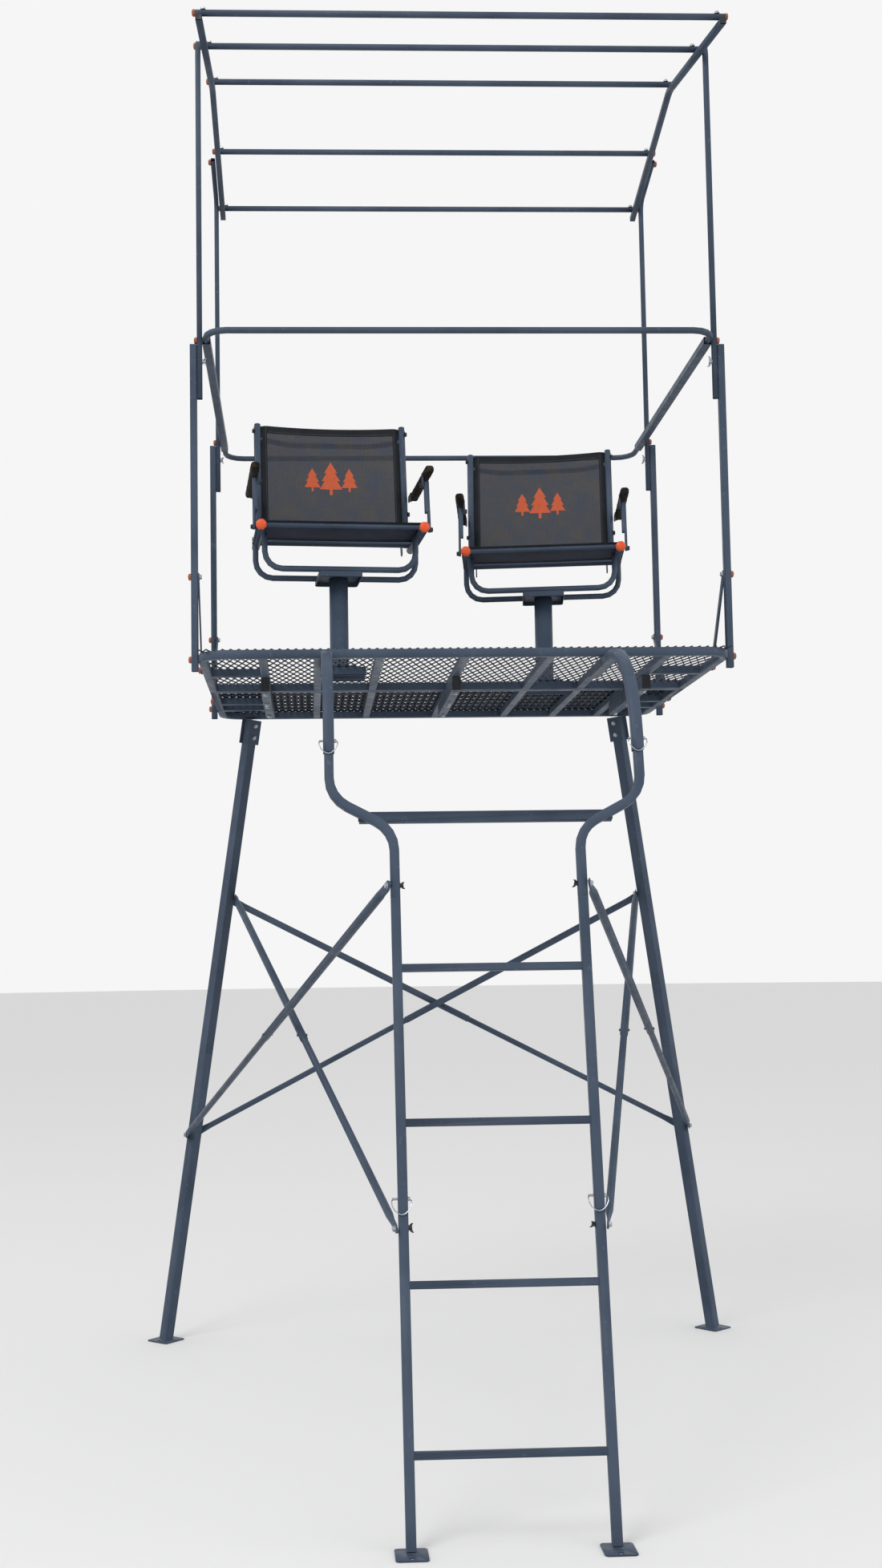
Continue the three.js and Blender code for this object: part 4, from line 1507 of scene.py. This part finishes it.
    def pivots(self) -> None:
        """The pivots' bolts and the tabs that hold the back's lower end."""
        y, z = self.pivot
        foot_y, foot_z = self.strut_foot
        arm, top = self.arm_pivot, self.strut_top
        for hand, side in SIDES.items():
            tab_x = side * self.tab_x
            tab = self.lug((tab_x, y, z), (tab_x, y - 14, z - 42), 12, 4)
            named(tab, f"{self.name}_back_tab_{hand}")
            mount(tab, f"{self.name}_seat", Coat.FRAME)
            fixings = (
                (Kind.HEX_BOLT, "pivot_bolt", (self.pivot_bolt_x, y, z), 1, "seat", Coat.ZINC),
                (Kind.WING_BOLT, "pivot_knob", (self.knob_x, y, z), -1, "seat", Coat.BLACK),
                (Kind.HEX_BOLT, "arm_bolt", (self.arm_bolt_x, arm.y, arm.z), 1, "arms", Coat.BLACK),
                (
                    Kind.HEX_BOLT,
                    "strut_foot_bolt",
                    (self.foot_bolt_x, foot_y, foot_z),
                    1,
                    "struts",
                    Coat.BLACK,
                ),
                (
                    Kind.HEX_BOLT,
                    "strut_top_bolt",
                    (self.top_bolt_x, top.y, top.z),
                    -1,
                    "arms",
                    Coat.BLACK,
                ),
            )
            for kind, word, (x, at_y, at_z), way, body, coat in fixings:
                self.fix(
                    kind, f"{word}_{hand}", (side * x, at_y, at_z), (way * side, 0, 0), body, coat
                )

    def back_bolts(self) -> None:
        """Black bolts on the outer faces of the back's side tubes."""
        for hand, side in SIDES.items():
            for word, up in self.back_bolts_up.items():
                place = facing(
                    self.on_back(side * self.back_bolt_x, up, 0), self.way(side, 0, 0), FLATS_UP
                )
                name = f"{self.name}_back_bolt_{word}_{hand}"
                self.hardware.put(Kind.HEX_BOLT, name, place, f"{self.name}_back", Coat.BLACK)

    def deck_mount(self) -> None:
        """Two cross channels under the deck that carry the post, with their covered bolts."""
        x, y = self.centre
        for word, way in ENDS.items():
            off = -way * self.channel_y
            channel = block(self.channel, (0, 0, 0))
            with editing(channel, "FACE", lambda f: abs(f.normal.x) > 0.9 or f.normal.z < -0.9):
                bpy.ops.mesh.delete(type="FACE")
            modified(channel, "SOLIDIFY", thickness=3 * MM, offset=-1)
            bevelled(channel, 0.8, 2)
            place = self.layout.placed(Vector((x, y + off, self.channel_z)))
            channel.data.transform(Matrix.Translation(place))
            named(channel, f"{self.name}_deck_channel_{word}")
            mount(smoothed(channel), "tower", Coat.FRAME)
            reach, height = self.channel_bolt
            for hand, side in SIDES.items():
                at = self.layout.placed(Vector((x + side * reach, y + off, height)))
                name = f"{self.name}_channel_cap_{word}_{hand}"
                self.hardware.put(
                    Kind.SMALL_CAP, name, facing(at, Vector((0, 0, -1))), "tower", Coat.RUST
                )
            reach, height = self.flange_bolt
            for hand, side in SIDES.items():
                at = self.at(side * reach, -way * reach, height)
                name = f"{self.name}_flange_bolt_{word}_{hand}"
                self.hardware.put(
                    Kind.HEX_BOLT, name, facing(at, Vector((0, 0, 1))), "tower", Coat.ZINC
                )

    def swivel(self) -> None:
        """The swivel's lipped plate, its black spacer and the bolts through both."""
        lip = block(self.lip, (0, 0, self.lip_z))
        with editing(lip, "FACE", lambda f: f.normal.z < -0.9):
            bpy.ops.mesh.delete(type="FACE")
        with editing(lip, "EDGE", lambda e: abs(e.verts[0].co.z - e.verts[1].co.z) > 5 * MM):
            bpy.ops.mesh.bevel(offset=9 * MM, segments=3)
        modified(lip, "SOLIDIFY", thickness=2.4 * MM, offset=1)
        lip.data.transform(self.frame)
        named(lip, f"{self.name}_swivel_lip")
        mount(smoothed(bevelled(lip, 0.8, 1)), f"{self.name}_seat", Coat.FRAME)
        spacer = bevelled(block(self.spacer, (0, 0, self.spacer_z)), 2, 2)
        spacer.data.transform(self.frame)
        named(spacer, f"{self.name}_swivel_spacer")
        mount(smoothed(spacer), f"{self.name}_seat", Coat.BLACK)
        for index, (x, y) in enumerate(self.swivel_bolts):
            at = (x, y, self.swivel_bolt_z)
            self.fix(Kind.HEX_BOLT, f"swivel_bolt_{index}", at, (0, 0, 1), "seat", Coat.ZINC)


@dataclass
class ArmPad:
    """The stuffed arm sleeve, swelled once and copied to each arm."""

    width: float = 29.0
    height: float = 25.5
    length: float = 350.0
    voxel: float = 3.6
    pressure: float = 4.0
    most_move: float = 1.8
    frames: int = 14
    # the end gathers: how far in, how deep and how wide
    gather_in: float = 26.0
    gather_depth: float = 1.6
    gather_width: float = 4.0
    # the sleeve's waves: height, length and phase
    waves: tuple[tuple[float, float, float], ...] = ((0.35, 11.0, 0.0), (0.25, 6.3, 1.1))
    wave_share: float = 0.6
    # the seam underneath: half its width and its depth
    seam: Span = (2.2, 0.9)

    def build(self) -> Obj:
        """Swell the sleeve and sew its lower seam.

        Returns:
            The sleeve, its rear end's middle at the origin and its length towards -Y.
        """
        pad = block((self.width, self.length, self.height), (0, -self.length / 2, 0))
        bevelled(pad, 9, 4)
        self.swell(pad)
        pad = modified(pad, "SUBSURF", levels=1, render_levels=1)
        for vertex in pad.data.vertices:
            self.sew(vertex)
        return smoothed(pad, 60)

    def swell(self, pad: Obj) -> None:
        """Blow the sleeve up as cloth, with a cap on how far a point goes.

        Args:
            pad: the plain rounded bar.
        """
        modified(pad, "REMESH", mode="VOXEL", voxel_size=self.voxel * MM)
        before = np.array([v.co for v in pad.data.vertices])
        activate(pad)
        cloth = pad.modifiers.new("Cloth", "CLOTH")
        cloth.settings.use_pressure = True
        cloth.settings.uniform_pressure_force = self.pressure
        cloth.settings.effector_weights.gravity = 0
        for number in range(1, self.frames + 1):
            bpy.context.scene.frame_set(number)
        bpy.ops.object.modifier_apply(modifier=cloth.name)
        bpy.context.scene.frame_set(1)
        for vertex, start in zip(pad.data.vertices, before):
            move = vertex.co - Vector(start)
            if move.length > self.most_move * MM:
                vertex.co = Vector(start) + move.normalized() * self.most_move * MM

    def sew(self, vertex: bpy.types.MeshVertex) -> None:
        """Draw one point into the end gathers and the seam under the arm."""
        along = -vertex.co.y / MM
        gather = 0.0
        for end in (self.gather_in, self.length - self.gather_in):
            gather += self.gather_depth * math.exp(-(((along - end) / self.gather_width) ** 2))
        wave = sum(high * math.sin(along / long + turn) for high, long, turn in self.waves)
        reach = math.hypot(vertex.co.x, vertex.co.z) / MM
        if reach > 1:
            shrink = 1 - (gather - wave * self.wave_share) / reach
            vertex.co.x *= shrink
            vertex.co.z *= shrink
        seam_half, seam_depth = self.seam
        if vertex.co.z < 0 and abs(vertex.co.x) < seam_half * MM:
            vertex.co.z += seam_depth * MM


# ------------------------------------------------------------------ studio


@dataclass
class Studio:
    """The pale floor, the soft light and the camera, in metres and radians."""

    location: tuple[float, float, float] = (-0.4737, -5.2952, 1.4416)
    heading: float = -0.03905
    pitch: float = 0.07836
    roll: float = -0.01399
    lens: float = 38.65
    shift: Span = (0.0423, 0.02125)
    sensor: float = 36.0
    floor_radius: float = 60.0
    surround: float = 0.92
    aim: tuple[float, float, float] = (0, 0, 2.2)

    def build(self) -> None:
        """Lay the floor, hang the lights and set the camera."""
        deselect()
        bpy.ops.mesh.primitive_circle_add(
            vertices=96, radius=self.floor_radius, fill_type="NGON"
        )
        floor = named(settled(), "floor")
        material = bpy.data.materials.new("pale_floor")
        material.use_nodes = True
        shader = material.node_tree.nodes["Principled BSDF"]
        shader.inputs["Base Color"].default_value = linear("#dddddd")
        shader.inputs["Roughness"].default_value = 0.9
        floor.data.materials.append(material)
        bpy.context.scene.view_settings.view_transform = "Standard"
        self.lights()
        self.camera()

    def lights(self) -> None:
        """A white surround, a soft key from the front left and a fill from the right."""
        world = bpy.data.worlds.new("studio")
        bpy.context.scene.world = world
        world.use_nodes = True
        background = world.node_tree.nodes["Background"]
        background.inputs["Color"].default_value = (1, 1, 1, 1)
        background.inputs["Strength"].default_value = self.surround
        for name, where, size, power in (
            ("key", (-4.5, -5.5, 8.5), 4.0, 330.0),
            ("fill", (5.5, -3.5, 3.0), 4.5, 60.0),
        ):
            light = bpy.data.lights.new(name, "AREA")
            light.size = size
            light.energy = power
            lamp = bpy.data.objects.new(name, light)
            bpy.context.scene.collection.objects.link(lamp)
            lamp.location = where
            aim = Vector(self.aim) - Vector(where)
            lamp.rotation_euler = aim.to_track_quat("-Z", "Y").to_euler()

    def camera(self) -> None:
        """The camera, low in front and a little to the left, looking slightly up."""
        data = bpy.data.cameras.new("camera")
        camera = bpy.data.objects.new("camera", data)
        bpy.context.scene.collection.objects.link(camera)
        turn = (
            Matrix.Rotation(self.heading, 4, "Z")
            @ Matrix.Rotation(math.pi / 2 + self.pitch, 4, "X")
            @ Matrix.Rotation(self.roll, 4, "Z")
        )
        camera.matrix_world = Matrix.Translation(self.location) @ turn
        data.lens = self.lens
        data.sensor_width = self.sensor
        data.sensor_fit = "AUTO"
        data.shift_x, data.shift_y = self.shift
        bpy.context.scene.camera = camera


def body_of_nodes(record: dict) -> dict[str, str]:
    """The body of each CAD node, from the record."""
    groups = record["behaviour"]["bodies"]
    return {node: body for body, nodes in groups.items() for node in nodes}


def main() -> None:
    """Build every sub-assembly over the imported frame, in order."""
    logging.basicConfig(level=logging.INFO, format="%(name)s: %(message)s")
    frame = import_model()
    Studio().build()
    SteelFrame(body_of_nodes(frame["record"])).build()
    Deck().build()
    hardware = Hardware()
    hardware.build()
    layout = Layout(front_m=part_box("platform_front_frame")[0].y)
    Fixings(hardware, layout).build()
    pad = ArmPad().build()
    for name, centre, turn in (("left", (-371, 390), 5), ("right", (331, 705), -7)):
        Chair(name, centre, turn, hardware, layout).build(pad)
    bpy.data.objects.remove(pad)
    hardware.clear()


if __name__ == "__main__":
    main()
